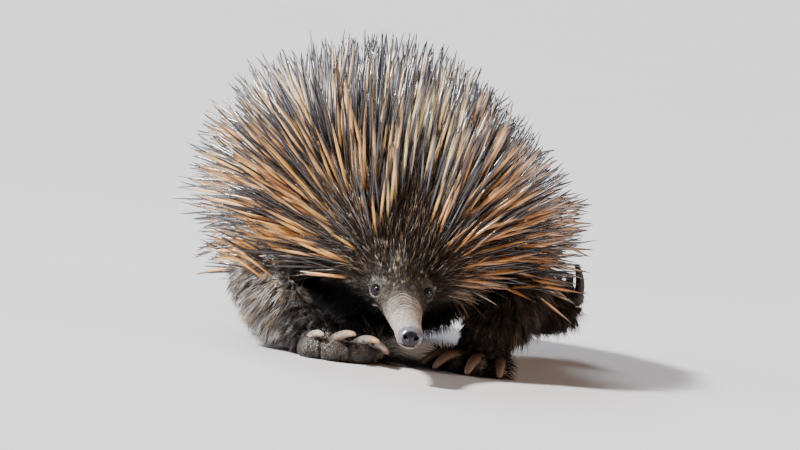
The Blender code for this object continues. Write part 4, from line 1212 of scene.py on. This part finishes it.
def spineTones(golden, upper, high, rng):
    # root, middle, tip and crown of each spine; upper is 1 where the top of the coat is painted paler and bluer for the
    # back light, and creamier for a highlight
    count, gilt = len(golden), golden[:, None]

    def mixed(first, second, share):
        return blendTo(first, second, np.clip(share, 0, 1))

    colour = {key: np.array(spines[key]) for key in ("gold", "orange", "cream", "pale", "dark", "skySheen", "tip")}
    cream = mixed(colour["cream"], colour["pale"], upper ** 1.3)
    gold = mixed(colour["gold"], colour["orange"], np.clip(rng.normal(0.3, 0.35, count), 0, 1) * (1 - high * 0.7))
    gold = mixed(gold, cream, np.clip(0.10 + 0.8 * upper + rng.normal(0, 0.2, count), 0, 0.95))
    dark = mixed(colour["dark"], colour["skySheen"], 0.95 * upper ** 1.8 + rng.normal(0, 0.10, count))
    middle = np.where(gilt, gold, dark) * rng.uniform(0.55, 1.4, count)[:, None]
    root = np.where(gilt, middle * np.array((0.42, 0.30, 0.20)), middle * 0.5)
    crownShare = rng.uniform(0.2, 1.0, count) * np.where(golden, 0.5 + 0.4 * upper, 0.15 + 0.6 * upper)
    crown = mixed(middle, np.where(gilt, cream, colour["skySheen"]), crownShare)
    return root, middle, colour["tip"] * rng.uniform(0.7, 2.2, count)[:, None], crown


def turnFromLimbs(here, ways, length):
    # spines that would enter a limb are turned up and back, and those that still would are left out
    for attempt in range(6):
        gap = np.full(len(here), 1e9)
        for t in (0.25, 0.45, 0.65, 0.85, 1.0):
            gap = np.minimum(gap, whereOnLimbs(here + ways * (length * t)[:, None])[2])
        bad = gap < 0.5 * mm
        if attempt < 5:
            turned = unit(ways + np.array((0, 0.10, 0.24)) * (attempt + 1) * 0.5)
            ways = np.where(bad[:, None], turned, ways)
    return ways, ~bad


def bothSides(angle):
    return ("Left", np.cos(angle) >= 0), ("Right", np.cos(angle) < 0)


def buildSpines():
    rng = np.random.default_rng(spines["seed"])
    at, angle = spineRoots(rng)
    here, normal, ways = leanWays(at, angle, rng, 5.5, 7.0)
    count, rise = len(at), np.sin(angle)
    length = table(spines["length"], at) * (1 - spines["flatter"][3] * flatShare(at, angle)) * mm
    length = length * rng.uniform(0.72, 1.12, count)
    ways, clear = turnFromLimbs(here, ways, length)
    golden = rng.random(count) < spines["goldShare"]
    high = ease(0.25, 0.9, rise)
    golden &= rng.random(count) > 0.3 * high * ease(8.6, 11.5, at)
    # painted light: the spines over the top of the back paler and bluer, and those over the top front creamier, as
    # highlight
    upper = ease(0.0, 0.75, rise) * ease(8.4, 11.4, at)
    centre = np.exp(-(((np.degrees(angle) - 88) / 34) ** 2)) * ease(13.0, 10.0, at)
    root, middle, tip, crown = spineTones(golden, np.maximum(upper, 0.5 * centre), high, rng)
    # painted shade on the animal's left side, deeper low down, and painted highlight brightening the top front
    leftShadeShare = ease(-0.1, 0.6, np.cos(angle)) * (1 - 0.5 * high)
    shade = blendTo(np.ones((count, 3)), np.array(spines["leftShade"]), leftShadeShare)
    shade = shade * (1 - 0.3 * leftShadeShare * ease(0.35, -0.1, rise) + 0.35 * centre)[:, None]
    root, middle, crown = (np.clip(tone * shade, 0, 0.95) for tone in (root, middle, crown))
    width = 2 * mm * np.where(golden, spines["radius"], spines["darkRadius"]) * rng.uniform(0.82, 1.15, count)
    width = width * table(spines["slimmer"], at)
    start = here - ways * (spines["root"] * mm)
    length = length + spines["root"] * mm
    bend = normal * -0.05 + rng.normal(0, 0.022, (count, 3))
    ways = unit(ways + normal * 0.045)
    uv = skinUvs[nearestOf(start, triCentres)].mean(1)
    for label, side in bothSides(angle):
        pick = side & clear
        growTufts(
            "spines" + label, start[pick], ways[pick], length[pick], width[pick], bend[pick],
            (root[pick], middle[pick], tip[pick], crown[pick]), uv[pick], spines["shape"], sides=5, finish="spine",
        )


buildSpines()


# the spines that lie over each shoulder, rooted in the upper arm

shoulders = {
    # where they point, lowest root, how far down the limb, how they lean from the skin
    "forelegRight": {"heading": (-1.0, 0.30, 0.12), "lowest": 41.0, "down": 2.7, "lean": 72},
    "forelegLeft": {"heading": (0.95, 0.30, -0.10), "lowest": 53.0, "down": 1.8, "lean": 66},
    "spacing": 3.9, "length": (26, 42), "tries": 4200, "goldShare": 0.45,
}


def buildShoulderSpines(name):
    settings = shoulders[name]
    rng = np.random.default_rng(spines["seed"] + 3 + limbNames.index(name))
    normals = unit(skinNormals[skinTris].sum(1))
    heading = unit(np.array(settings["heading"]))
    outer = (normals[:, 0] * heading[0] > -0.3) & (dot(normals, heading[None]) < 0.72)
    outer = outer & (triAlong < settings["down"]) & (triCentres[:, 2] > settings["lowest"] * mm)
    _, place, normal, uv = pickRoots(outer * onLimb(name) * limbShare, shoulders["tries"], rng)
    kept = []
    for k, point in enumerate(place):
        if not kept or np.linalg.norm(place[kept] - point, axis=1).min() > shoulders["spacing"] * mm:
            kept.append(k)
    place, normal, uv = place[kept], normal[kept], uv[kept]
    count = len(kept)
    tilt = np.radians(rng.normal(settings["lean"], 5, count))[:, None]
    lie = flatten(heading + rng.normal(0, 0.11, (count, 3)), normal)
    ways = unit(normal * np.cos(tilt) + lie * np.sin(tilt))
    length = (rng.uniform(*shoulders["length"], count) + spines["root"]) * mm
    golden = rng.random(count) < shoulders["goldShare"]
    root, middle, tip, crown = spineTones(golden, np.zeros(count), np.zeros(count), rng)
    if name == "forelegLeft":
        root, middle, crown = (tone * np.array(spines["leftShade"]) for tone in (root, middle, crown))
    width = 2 * mm * np.where(golden, spines["radius"], spines["darkRadius"]) * rng.uniform(0.75, 1.1, count)
    bend = rng.normal(0, 0.03, (count, 3)) + np.array((0, 0, -0.05))
    growTufts(
        name + "Spines", place - ways * (spines["root"] * mm), ways, length, width, bend,
        (root, middle, tip, crown), uv, spines["shape"], sides=5, finish="spine",
    )


buildShoulderSpines("forelegRight")
buildShoulderSpines("forelegLeft")


# fur

fur = {
    "seed": 7,
    "dark": (0.0065, 0.0040, 0.0030), "brown": (0.020, 0.0115, 0.0072), "umber": (0.078, 0.046, 0.029),
    "grey": (0.15, 0.13, 0.12), "straw": (0.36, 0.24, 0.135), "silver": (0.52, 0.49, 0.47),
    # length, how it grows by station, width, and how often each colour is drawn for the tips
    "between": {
        "count": 13000, "length": (13, 23), "growth": [(7.3, 0.5), (8.2, 0.8), (9.5, 1)], "width": 0.50,
        "tips": {"dark": 0.42, "brown": 0.36, "grey": 0.15, "straw": 0.07},
    },
    "bristles": {
        "count": 4400, "length": (26, 42), "growth": [(7.3, 0.55), (8.2, 0.8), (9.5, 1)], "width": 0.55,
        "tips": {"dark": 0.6, "grey": 0.25, "straw": 0.15},
    },
    "nape": {
        "count": 6800, "length": (15, 27), "growth": [(5.8, 0.28), (6.6, 0.55), (7.4, 0.95), (8.4, 1.2)], "width": 0.42,
        "tips": {"dark": 0.34, "brown": 0.26, "umber": 0.22, "straw": 0.12, "silver": 0.06},
        # half width in degrees of the dark wedge
        "wedge": [(6.0, 75), (6.6, 90), (7.0, 80), (7.5, 58), (8.0, 36), (8.6, 22), (9.3, 8)],
    },
    "head": {
        "count": 31000, "width": 0.30, "pale": 0.045,
        "growth": [
            (4.0, 1.2), (4.4, 1.9), (5.0, 2.9), (5.5, 3.7), (6.0, 4.6), (6.5, 6.2), (6.9, 9), (7.3, 14), (7.7, 20),
        ],
        "widths": [(4, 0.75), (6, 1.0), (7, 1.15)],
        "lean": [(4.0, 66), (5.2, 62), (6.0, 60), (6.8, 54), (7.7, 44)],
        "tips": {"dark": 0.44, "brown": 0.26, "umber": 0.14, "grey": 0.10, "straw": 0.06},
        # dust on the hair at the beak's base: root, middle, tip
        "dust": [(0.05, 0.04, 0.032), (0.12, 0.095, 0.078), (0.24, 0.20, 0.165)],
    },
    "cheek": {
        "count": 900, "length": (15, 28), "growth": [(6.3, 0.5), (7.0, 0.85), (7.6, 1.1)], "width": 0.75,
        "root": (0.06, 0.032, 0.016), "gold": (0.50, 0.27, 0.11), "opening": [(6.3, 60), (7.3, 38), (8.0, 15)],
    },
    "belly": {"count": 11500, "length": (14, 18), "width": 0.50, "tips": {"dark": 0.6, "brown": 0.4}},
    # growth and lean by how far down the limb
    "limbGrowth": [(0, 21), (1, 21), (2, 19), (3, 14), (3.6, 10), (4, 7)],
    "limbLean": [(0, 66), (2, 66), (3, 68), (4, 70)],
    # which way the hair is swept on each limb besides along it
    "forelegRight": {
        "count": 12200, "width": 0.42, "sweep": (-0.75, 0.25, -0.55),
        "tips": {"dark": 0.10, "brown": 0.14, "grey": 0.36, "straw": 0.14, "silver": 0.26},
    },
    "forelegLeft": {
        "count": 8200, "width": 0.48, "sweep": (0.15, 0.15, -0.95), "wristSweep": (-0.30, -0.95, -0.45),
        "tips": {"dark": 0.26, "brown": 0.26, "umber": 0.36, "grey": 0.08, "straw": 0.04},
    },
    "hindlegRight": {
        "count": 4200, "width": 0.55, "sweep": (-0.3, 0.35, -0.8),
        "tips": {"dark": 0.5, "brown": 0.36, "umber": 0.09, "grey": 0.04, "straw": 0.01},
    },
    "hindlegLeft": {
        "count": 7500, "width": 0.5, "sweep": (0.35, 0.2, -0.85),
        "tips": {"dark": 0.5, "brown": 0.36, "umber": 0.09, "grey": 0.04, "straw": 0.01},
    },
    "foot": {
        "count": 5600, "length": (3.0, 6.5), "width": 0.32,
        "tips": {"dark": 0.26, "brown": 0.28, "umber": 0.36, "grey": 0.10},
    },
    "tail": {
        "count": 3000, "growth": [(15.9, 13), (17, 8.5), (18, 4.5)], "width": 0.5,
        "tips": {"dark": 0.45, "brown": 0.4, "grey": 0.15},
    },
}
slimHair = [(0.0, 1.0), (0.35, 0.9), (0.72, 0.55)]
shortHair = [(0.0, 1.0), (0.5, 0.75)]


def hairTones(key, count, rng):
    tips = fur[key]["tips"]
    low = np.array(fur["dark"]) * rng.uniform(0.7, 1.3, count)[:, None]
    mid = np.array(fur["brown"]) * rng.uniform(0.6, 1.4, count)[:, None]
    pick = rng.choice(len(tips), size=count, p=list(tips.values()))
    end = np.array([fur[tip] for tip in tips])[pick] * rng.uniform(0.7, 1.3, count)[:, None]
    return low, blendTo(mid, end, 0.35), end


def amount(key):
    return int(fur[key]["count"] * (1))


def hairLength(key, count, rng, at):
    return rng.uniform(*fur[key]["length"], count) * mm * table(fur[key]["growth"], at)


def hairWidth(key, count, rng, low=0.7, high=1.2):
    return fur[key]["width"] * mm * rng.uniform(low, high, count)


def jitter(rng, spread, count):
    return rng.normal(0, spread, (count, 3))


def sproutHair(
    name, rng, roots, lie, lean, length, width, tones, droop, every=14, pull=0.45, shape=slimHair, alike=0.6,
):
    _, place, normal, uv = roots
    tilt = np.radians(lean)[:, None]
    ways = unit(normal * np.cos(tilt) + lie * np.sin(tilt) + jitter(rng, 0.07, len(place)))
    tips = place + ways * length[:, None]
    tips, leader = gatherTips(place, tips, every, np.clip(rng.normal(pull, 0.12, len(place)), 0, 0.9))
    tones = tuple(blendTo(tone, tone[leader], alike) for tone in tones)
    reach = tips - place
    total = np.clip(np.linalg.norm(reach, axis=1), length * 0.6, length * 1.25)
    bend = np.array((0, 0, -1.0)) * droop + lie * 0.12 + jitter(rng, 0.05, len(place))
    growTufts(name, place - normal * 0.6 * mm, unit(reach), total, width, bend, tones, uv, shape)


def overFlank(margin):
    # the skin above the lowest row of spines, less a margin in degrees
    return np.sin(triAngle) > np.sin(np.radians(table(spines["lowest"], triAt) - margin))


def buildTorsoFur():
    rng = np.random.default_rng(fur["seed"])
    weights = (overFlank(14) & onTrunk) * (1 - limbShare)
    for part, half in bothSides(triAngle):
        count = amount("between") // 2
        chosen, place, normal, uv = pickRoots(weights * half, count, rng)
        at, angle = triAt[chosen], triAngle[chosen]
        _, _, ways = leanWays(at, angle, rng, 7, 8, 4)
        length = hairLength("between", count, rng, at)
        # painted sheen: the tips greyer over the top of the back, as lit by the back light
        high = ease(0.4, 0.95, np.sin(angle)) * ease(9, 12.5, at)
        low, mid, end = hairTones("between", count, rng)
        tones = (low, mid, blendTo(end, np.array(fur["grey"]), high * 0.5))
        width = hairWidth("between", count, rng)
        bend = jitter(rng, 0.06, count) + np.array((0, 0.05, -0.05))
        growTufts("underfur" + part, place - normal * 0.6 * mm, ways, length, width, bend, tones, uv, shortHair)
    count = amount("bristles")
    chosen, place, normal, uv = pickRoots(weights * (1 + 2 * ease(9.5, 8, triAt)), count, rng)
    at, angle = triAt[chosen], triAngle[chosen]
    _, _, ways = leanWays(at, angle, rng, 8, 10, 2)
    length = hairLength("bristles", count, rng, at)
    tones = hairTones("bristles", count, rng)
    width = hairWidth("bristles", count, rng)
    growTufts("bristles", place, ways, length, width, jitter(rng, 0.05, count), tones, uv, slimHair)


def headWeights(eyeGap):
    rise = np.sin(triAngle)
    start = 4.25 - 0.30 * ease(-0.1, 0.9, rise) + 0.35 * ease(-0.2, -0.9, rise)
    weights = ease(-0.1, 0.3, triAt - start) * (triAt < 7.75) * (0.6 + 0.4 * ease(6.0, 7.4, eyeGap)) * (eyeGap > 5.6)
    weights = weights * (onFace | (triAt > 7.3)) * (triProud < 4 * mm)
    weights = weights * (1 + 1.6 * ease(7.2, 5.6, triAt) + 2.0 * ease(4.9, 4.4, triAt))
    for sign in (1, -1):
        centre, _, along, around = earFrame(sign)
        away = (triCentres - centre) / mm
        slit = np.hypot(dot(away, around) / (ears["tall"] + 0.2), dot(away, along) / (ears["wide"] + 0.2))
        weights = weights * (slit > 1)
    return weights


def buildHeadFur(rng, eyeGap):
    weights, settings = headWeights(eyeGap), fur["head"]
    for part, half in bothSides(triAngle):
        count = amount("head") // 2
        roots = pickRoots(weights * half, count, rng)
        chosen, place, normal, _ = roots
        at, angle = triAt[chosen], triAngle[chosen]
        rise = np.sin(angle)
        along = surfaceFrame(at, angle)[2]
        lie = along + np.array((0, 0, 0.35)) * np.maximum(rise, 0)[:, None] + jitter(rng, 0.22, count)
        lie = flatten(lie, normal)
        for sign in (1, -1):
            away = flatten(place - eyeCentre(sign), normal)
            near = ease(11.0, 7.0, np.linalg.norm(place - eyeCentre(sign), axis=1) / mm) * 0.7
            lie = unit(lie * (1 - near)[:, None] + away * near[:, None])
        length = table(settings["growth"], at) * mm * rng.uniform(0.6, 1.3, count)
        length = length * (0.5 + 0.5 * ease(6.0, 10.0, eyeGap[chosen]))
        lean = table(settings["lean"], at) + rng.normal(0, 9, count)
        width = hairWidth("head", count, rng, 0.75, 1.4) * table(settings["widths"], at)
        tones = hairTones("head", count, rng)
        # silver flecks all over, with more on the brow and on the right half as painted highlight
        browHighlight = np.exp(-(((np.degrees(angle) - 106) / 15) ** 2)) * ease(5.0, 5.5, at) * ease(6.9, 6.3, at)
        pale = rng.random(count) < settings["pale"] * (0.4 + 0.5 * (part == "Right") + 3.5 * browHighlight)
        fleck = np.array(fur["silver"]) * rng.uniform(0.55, 1.2, count)[:, None]
        fleck = fleck * np.where(rng.random(count)[:, None] < 0.4, (1.0, 0.8, 0.55), (1.0, 1.0, 1.0))
        tones = (np.where(pale[:, None], fleck * fade, tone) for tone, fade in zip(tones, (0.35, 0.9, 1.0)))
        width = np.where(pale, width * 1.4, width)
        # painted shade: the hair darker on the underside of the head, and darker towards the nape, less so on the pale
        # hairs
        under = (0.62 - 0.56 * ease(-0.36, -0.66, rise) + 0.38 * pale - 0.22 * ease(6.2, 6.9, at))[:, None]
        dusty = (rng.random(count) < 0.28 * ease(5.6, 4.3, at)) * 0.9
        tones = [blendTo(tone * under, np.array(dust), dusty) for tone, dust in zip(tones, settings["dust"])]
        sproutHair("headFur" + part, rng, roots, lie, lean, length, width, tones, 0.0, 9, 0.3, shortHair, 0.7)


def buildCheekBristles(rng, eyeGap):
    # thin golden bristles from the cheeks back into the spines
    count, degrees = amount("cheek"), np.degrees(triAngle)
    ring = (triAt > 6.9) & (triAt < 8.0) & (degrees > -25) & (degrees < 270)
    ring &= np.abs(degrees - 90) > table(fur["cheek"]["opening"], triAt)
    ring &= (np.sin(triAngle) > -0.45) & (eyeGap > 12) & (onFace | (triAt > 7.4))
    chosen, place, normal, uv = pickRoots(ring * (0.2 + 0.8 * ease(6.9, 7.3, triAt)), count, rng)
    at, angle = triAt[chosen], triAngle[chosen]
    _, _, ways = leanWays(at, angle, rng, 7, 9, 4)
    length = hairLength("cheek", count, rng, at)
    low = np.tile(np.array(fur["cheek"]["root"]), (count, 1))
    mid = np.array(fur["cheek"]["gold"]) * rng.uniform(0.25, 1.0, count)[:, None]
    mid = np.where(rng.random(count)[:, None] < 0.45, np.array(fur["brown"]) * 1.5, mid)
    end = np.where(rng.random(count)[:, None] < 0.6, mid * 1.15, np.array(spines["tip"]) * 2)
    width, start = hairWidth("cheek", count, rng, 0.6, 1.2), place - normal * 0.6 * mm
    bend = jitter(rng, 0.04, count)
    growTufts("cheekBristles", start, ways, length, width, bend, (low, mid, end), uv, slimHair, finish="spine")


def buildNapeHair(rng, eyeGap):
    # the dark wedge over the nape
    count = amount("nape")
    wedge = (np.abs(np.degrees(triAngle) - 90) < table(fur["nape"]["wedge"], triAt)) & (triAt < 9.3)
    wedge = wedge * ease(5.7, 6.8, triAt) * (onFace | (triAt > 7.4)) * (eyeGap > 9)
    chosen, place, normal, uv = pickRoots(wedge, count, rng)
    at, angle = triAt[chosen], triAngle[chosen]
    _, _, ways = leanWays(at, angle, rng, 9, 12, -2 + 20 * ease(6.9, 6.1, at))
    length = hairLength("nape", count, rng, at)
    tones = hairTones("nape", count, rng)
    width, start = hairWidth("nape", count, rng, 0.7, 1.3), place - normal * 0.6 * mm
    growTufts("napeHair", start, ways, length, width, jitter(rng, 0.06, count), tones, uv, slimHair)


def buildBellyFur():
    rng, count = np.random.default_rng(fur["seed"] + 2), amount("belly")
    weights = (~overFlank(10) & onTrunk) * (1 - limbShare) * (1 + 1.6 * ease(11.5, 10.0, triAt))
    roots = pickRoots(weights, count, rng)
    chosen, place, normal, _ = roots
    at, angle = triAt[chosen], triAngle[chosen]
    lie = flatten(surfaceFrame(at, angle)[2] + jitter(rng, 0.2, count), normal)
    across = place[:, 0] / mm - animal["shift"][0]
    inner = np.exp(-(((across + 24) / 13) ** 2)) * ease(10.5, 9.5, at)
    length = rng.uniform(*fur["belly"]["length"], count) * mm
    length = length * (1 + 0.8 * inner - 0.38 * ease(12, 34, across) * ease(13.0, 12.0, at))
    lean = rng.normal(62, 5, count) - 24 * ease(8.0, 9.0, at) * ease(12.0, 11.0, at)
    width = hairWidth("belly", count, rng)
    shade = (0.25 + 0.75 * ease(9.5, 12.0, at))[:, None]
    tones = [tone * shade for tone in hairTones("belly", count, rng)]
    sproutHair("bellyFur", rng, roots, lie, lean, length, width, tones, 0.35, 7, 0.22, shortHair)


def buildLimbFur(number, name):
    rng, count = np.random.default_rng(fur["seed"] + 10 + number), amount(name)
    settings, silvery = fur[name], name == "forelegRight"
    roots = pickRoots(limbShare * (triLimb == number) * (1 - triBare), count, rng)
    chosen, place, normal, _ = roots
    along = triAlong[chosen]
    sweep = np.tile(np.array(settings["sweep"]), (count, 1))
    if name == "forelegLeft":
        sweep = blendTo(sweep, np.array(settings["wristSweep"]), ease(2.9, 3.5, along))
    lie = flatten(lieOfLimb(np.full(count, number), along) * 0.45 + sweep + jitter(rng, 0.10, count), normal)
    swirl = softNoise(place, 16 * mm, 5.0) * 0.5
    lie = unit(lie + np.cross(normal, lie) * swirl[:, None])
    length = table(fur["limbGrowth"], along) * mm * rng.uniform(0.6, 1.15, count)
    if name.startswith("hindleg"):
        length = length * 0.85
    else:
        length = length * (1 - 0.35 * ease(0.1, 0.9, -normal[:, 2]) * ease(3.2, 2.4, along))
    if name == "hindlegLeft":
        length = length * (1 + 0.7 * ease(2.6, 3.4, along))
    if silvery:
        length = length * (1 - 0.35 * ease(1.0, 1.6, along) * ease(3.0, 2.4, along))
        length = length * (1 + 0.35 * ease(2.9, 3.5, along))
    lean = table(fur["limbLean"], along) + rng.normal(0, 6, count)
    width = hairWidth(name, count, rng, 0.7, 1.25)
    low, mid, end = hairTones(name, count, rng)
    # painted light: the outer side of the right foreleg, where the light falls, made lighter
    if silvery:
        outer = (0.45 + 1.35 * ease(-58, -88, place[:, 0] / mm - animal["shift"][0]))[:, None]
        mid, end = blendTo(mid, end, 0.8) * outer, end * outer
    # pale and dark hairs come in streaks
    streak = np.stack([dot(place, np.cross(normal, lie)), along * 4 * mm, dot(place, normal)], -1)
    streak = softNoise(streak, 3.2 * mm, 6.0)
    gain = np.clip(1 + (1.4 if silvery else 1.0) * streak, 0.3, 2.2)[:, None]
    tones, gathered = (low, mid * gain, end * gain), (8, 0.5, slimHair, 0.75) if silvery else (14, 0.5)
    sproutHair(name + "Fur", rng, roots, lie, lean, length, width, tones, 0.12, *gathered)


def buildFootFur():
    rng, count = np.random.default_rng(fur["seed"] + 20), amount("foot")
    palms = np.array([spot(foot["palm"]) for foot in feet.values()])
    nearest = np.linalg.norm(triCentres[:, None] - palms[None], axis=2).min(1)
    inside = onLimb("forelegRight") & (triCentres[:, 0] / mm - animal["shift"][0] > -38)
    weights = triBare * (1 - triBare) * 4 + 0.25 * (1 - triBare)
    weights = weights * (triAlong > 3.3) * (nearest < 34 * mm) * ~onFace * ~inside * (triCentres[:, 2] > 3 * mm)
    weights = weights * (1 + 2.5 * onLimb("hindlegLeft") + 0.8 * onLimb("forelegLeft"))
    roots = pickRoots(weights, count, rng)
    chosen, _, normal, _ = roots
    right, left, raised = (onLimb(name)[chosen] * 1.0 for name in ("forelegRight", "forelegLeft", "hindlegLeft"))
    lie = lieOfLimb(triLimb[chosen], triAlong[chosen]) + np.array((0, 0, -0.4)) + jitter(rng, 0.25, count)
    lie = flatten(lie, normal) + 1.4 * raised[:, None] * np.array((0.15, 0.1, -1.0))
    lie = flatten(lie + 1.8 * left[:, None] * np.array((-0.25, -0.8, -0.5)), normal)
    length = rng.uniform(*fur["foot"]["length"], count) * mm * (1 + 1.1 * raised + 0.3 * left - 0.45 * right)
    width = hairWidth("foot", count, rng, 0.8, 1.2) * (1 + 0.4 * raised)
    tones = hairTones("foot", count, rng)
    lean = rng.normal(62, 8, count) + 12 * left
    sproutHair("footFur", rng, roots, lie, lean, length, width, tones, 0.1, 8, 0.3, shortHair)


def buildTailFur():
    rng, count = np.random.default_rng(fur["seed"] + 30), amount("tail")
    roots = pickRoots((triAt > 15.9) * ~onFace * 1.0, count, rng)
    chosen, _, normal, _ = roots
    at, angle = triAt[chosen], triAngle[chosen]
    lie = flatten(surfaceFrame(at, angle)[2] + jitter(rng, 0.15, count), normal)
    length = table(fur["tail"]["growth"], at) * mm * rng.uniform(0.7, 1.15, count)
    width = hairWidth("tail", count, rng)
    tones = hairTones("tail", count, rng)
    lean = rng.normal(64, 7, count)
    sproutHair("tailFur", rng, roots, lie, lean, length, width, tones, 0.05, shape=shortHair)


def buildAllHeadHair():
    rng = np.random.default_rng(fur["seed"] + 1)
    eyeGap = np.minimum(*(np.linalg.norm(triCentres - eyeCentre(sign), axis=1) for sign in (1, -1))) / mm
    for build in (buildHeadFur, buildCheekBristles, buildNapeHair):
        build(rng, eyeGap)


buildTorsoFur()
buildAllHeadHair()
buildBellyFur()
for limbNumber, limbName in enumerate(limbNames):
    buildLimbFur(limbNumber, limbName)
buildFootFur()
buildTailFur()


# floor, lights and camera

setting = {
    "floorTone": (0.62, 0.61, 0.63), "floorReach": 24.0, "floorMottle": {"Scale": 3.0, "Amount": 0.02},
    "worldTone": (0.84, 0.86, 0.92), "worldStrength": 0.08,
    "nose": (0.0, -190.0, 26.4), "distance": 3.0, "tiltDown": 4.0, "roll": 7.5, "offset": (-13.9, 65.4), "lens": 232.8,
    # towards where they stand, strength, angle, colour
    "suns": {
        "keySun": ((-0.78, -0.36, 0.88), 8.6, 6.0, (1.0, 0.97, 0.93)),
        "backSun": ((-0.35, 0.85, 0.75), 2.8, 25.0, (0.86, 0.92, 1.0)),
    },
    # place, size, watts, colour
    "lamps": {
        "coolSide": ((-2.1, -0.7, 0.7), 0.9, 30, (0.88, 0.94, 1.0)),
        "warmSide": ((1.9, -0.5, 0.7), 0.8, 26, (1.0, 0.72, 0.52)),
    },
}


def buildFloor():
    reach, rings, sides = setting["floorReach"], 12, 48
    angle, radii = turns(sides), (reach * (np.arange(1, rings + 1) / rings) ** 2)[:, None]
    points = np.stack([radii * np.cos(angle), radii * np.sin(angle), 0 * radii * angle], -1).reshape(-1, 3)
    points = np.concatenate([points, [[0, 0, 0]]])
    mesh = meshFrom("floor", points, gridQuads(rings, sides)[:, ::-1], fan(rings * sides, sides))
    made, tree, shader = newMaterial("paleFloor", 0.85, 0.0, 0.2)
    values = {"Color": (*setting["floorTone"], 1), **setting["floorMottle"]}
    uneven = addNode(tree, "Group", {"node_tree": mottle}, values)
    tree.links.new(uneven["Color"], shader["Base Color"])
    floor = objectFrom("floor", mesh, made)


def buildLights():
    world = bpy.context.scene.world or bpy.data.worlds.new("studio")
    bpy.context.scene.world = world
    world.use_nodes = True
    background = world.node_tree.nodes["Background"]
    background.inputs["Color"].default_value = (*setting["worldTone"], 1)
    background.inputs["Strength"].default_value = setting["worldStrength"]
    for name, (place, size, watts, colour) in setting["lamps"].items():
        data = bpy.data.lights.new(name, "AREA")
        data.shape, data.size, data.energy, data.color = "DISK", size, watts, colour
        lamp = objectFrom(name, data)
        lamp.location = place
        lamp.rotation_euler = (Vector((0, 0, 0.06)) - Vector(place)).to_track_quat("-Z", "Y").to_euler()
        lamp.visible_camera = False
    for name, (towards, strength, angle, colour) in setting["suns"].items():
        data = bpy.data.lights.new(name, "SUN")
        data.energy, data.angle, data.color = strength, math.radians(angle), colour
        objectFrom(name, data).rotation_euler = Vector(towards).to_track_quat("Z", "Y").to_euler()


def buildCamera():
    tilt, roll = math.radians(setting["tiltDown"]), math.radians(setting["roll"])
    level = Vector((1, 0, 0))
    upright = Vector((0, math.sin(tilt), math.cos(tilt)))
    look = Vector((0, math.cos(tilt), -math.sin(tilt)))
    right = level * math.cos(roll) + upright * math.sin(roll)
    up = upright * math.cos(roll) - level * math.sin(roll)
    target = Vector(setting["nose"]) * mm + Vector(shift)
    across, above = setting["offset"]
    place = target - look * setting["distance"] + level * across * mm + upright * above * mm
    data = bpy.data.cameras.new("camera")
    data.lens, data.sensor_width = setting["lens"], 36.0
    data.clip_start, data.clip_end = 0.05, 60
    camera = objectFrom("camera", data)
    camera.matrix_world = Matrix.Translation(place) @ Matrix((right, up, -look)).transposed().to_4x4()
    bpy.context.scene.camera = camera


buildFloor()
buildLights()
buildCamera()

print("done")
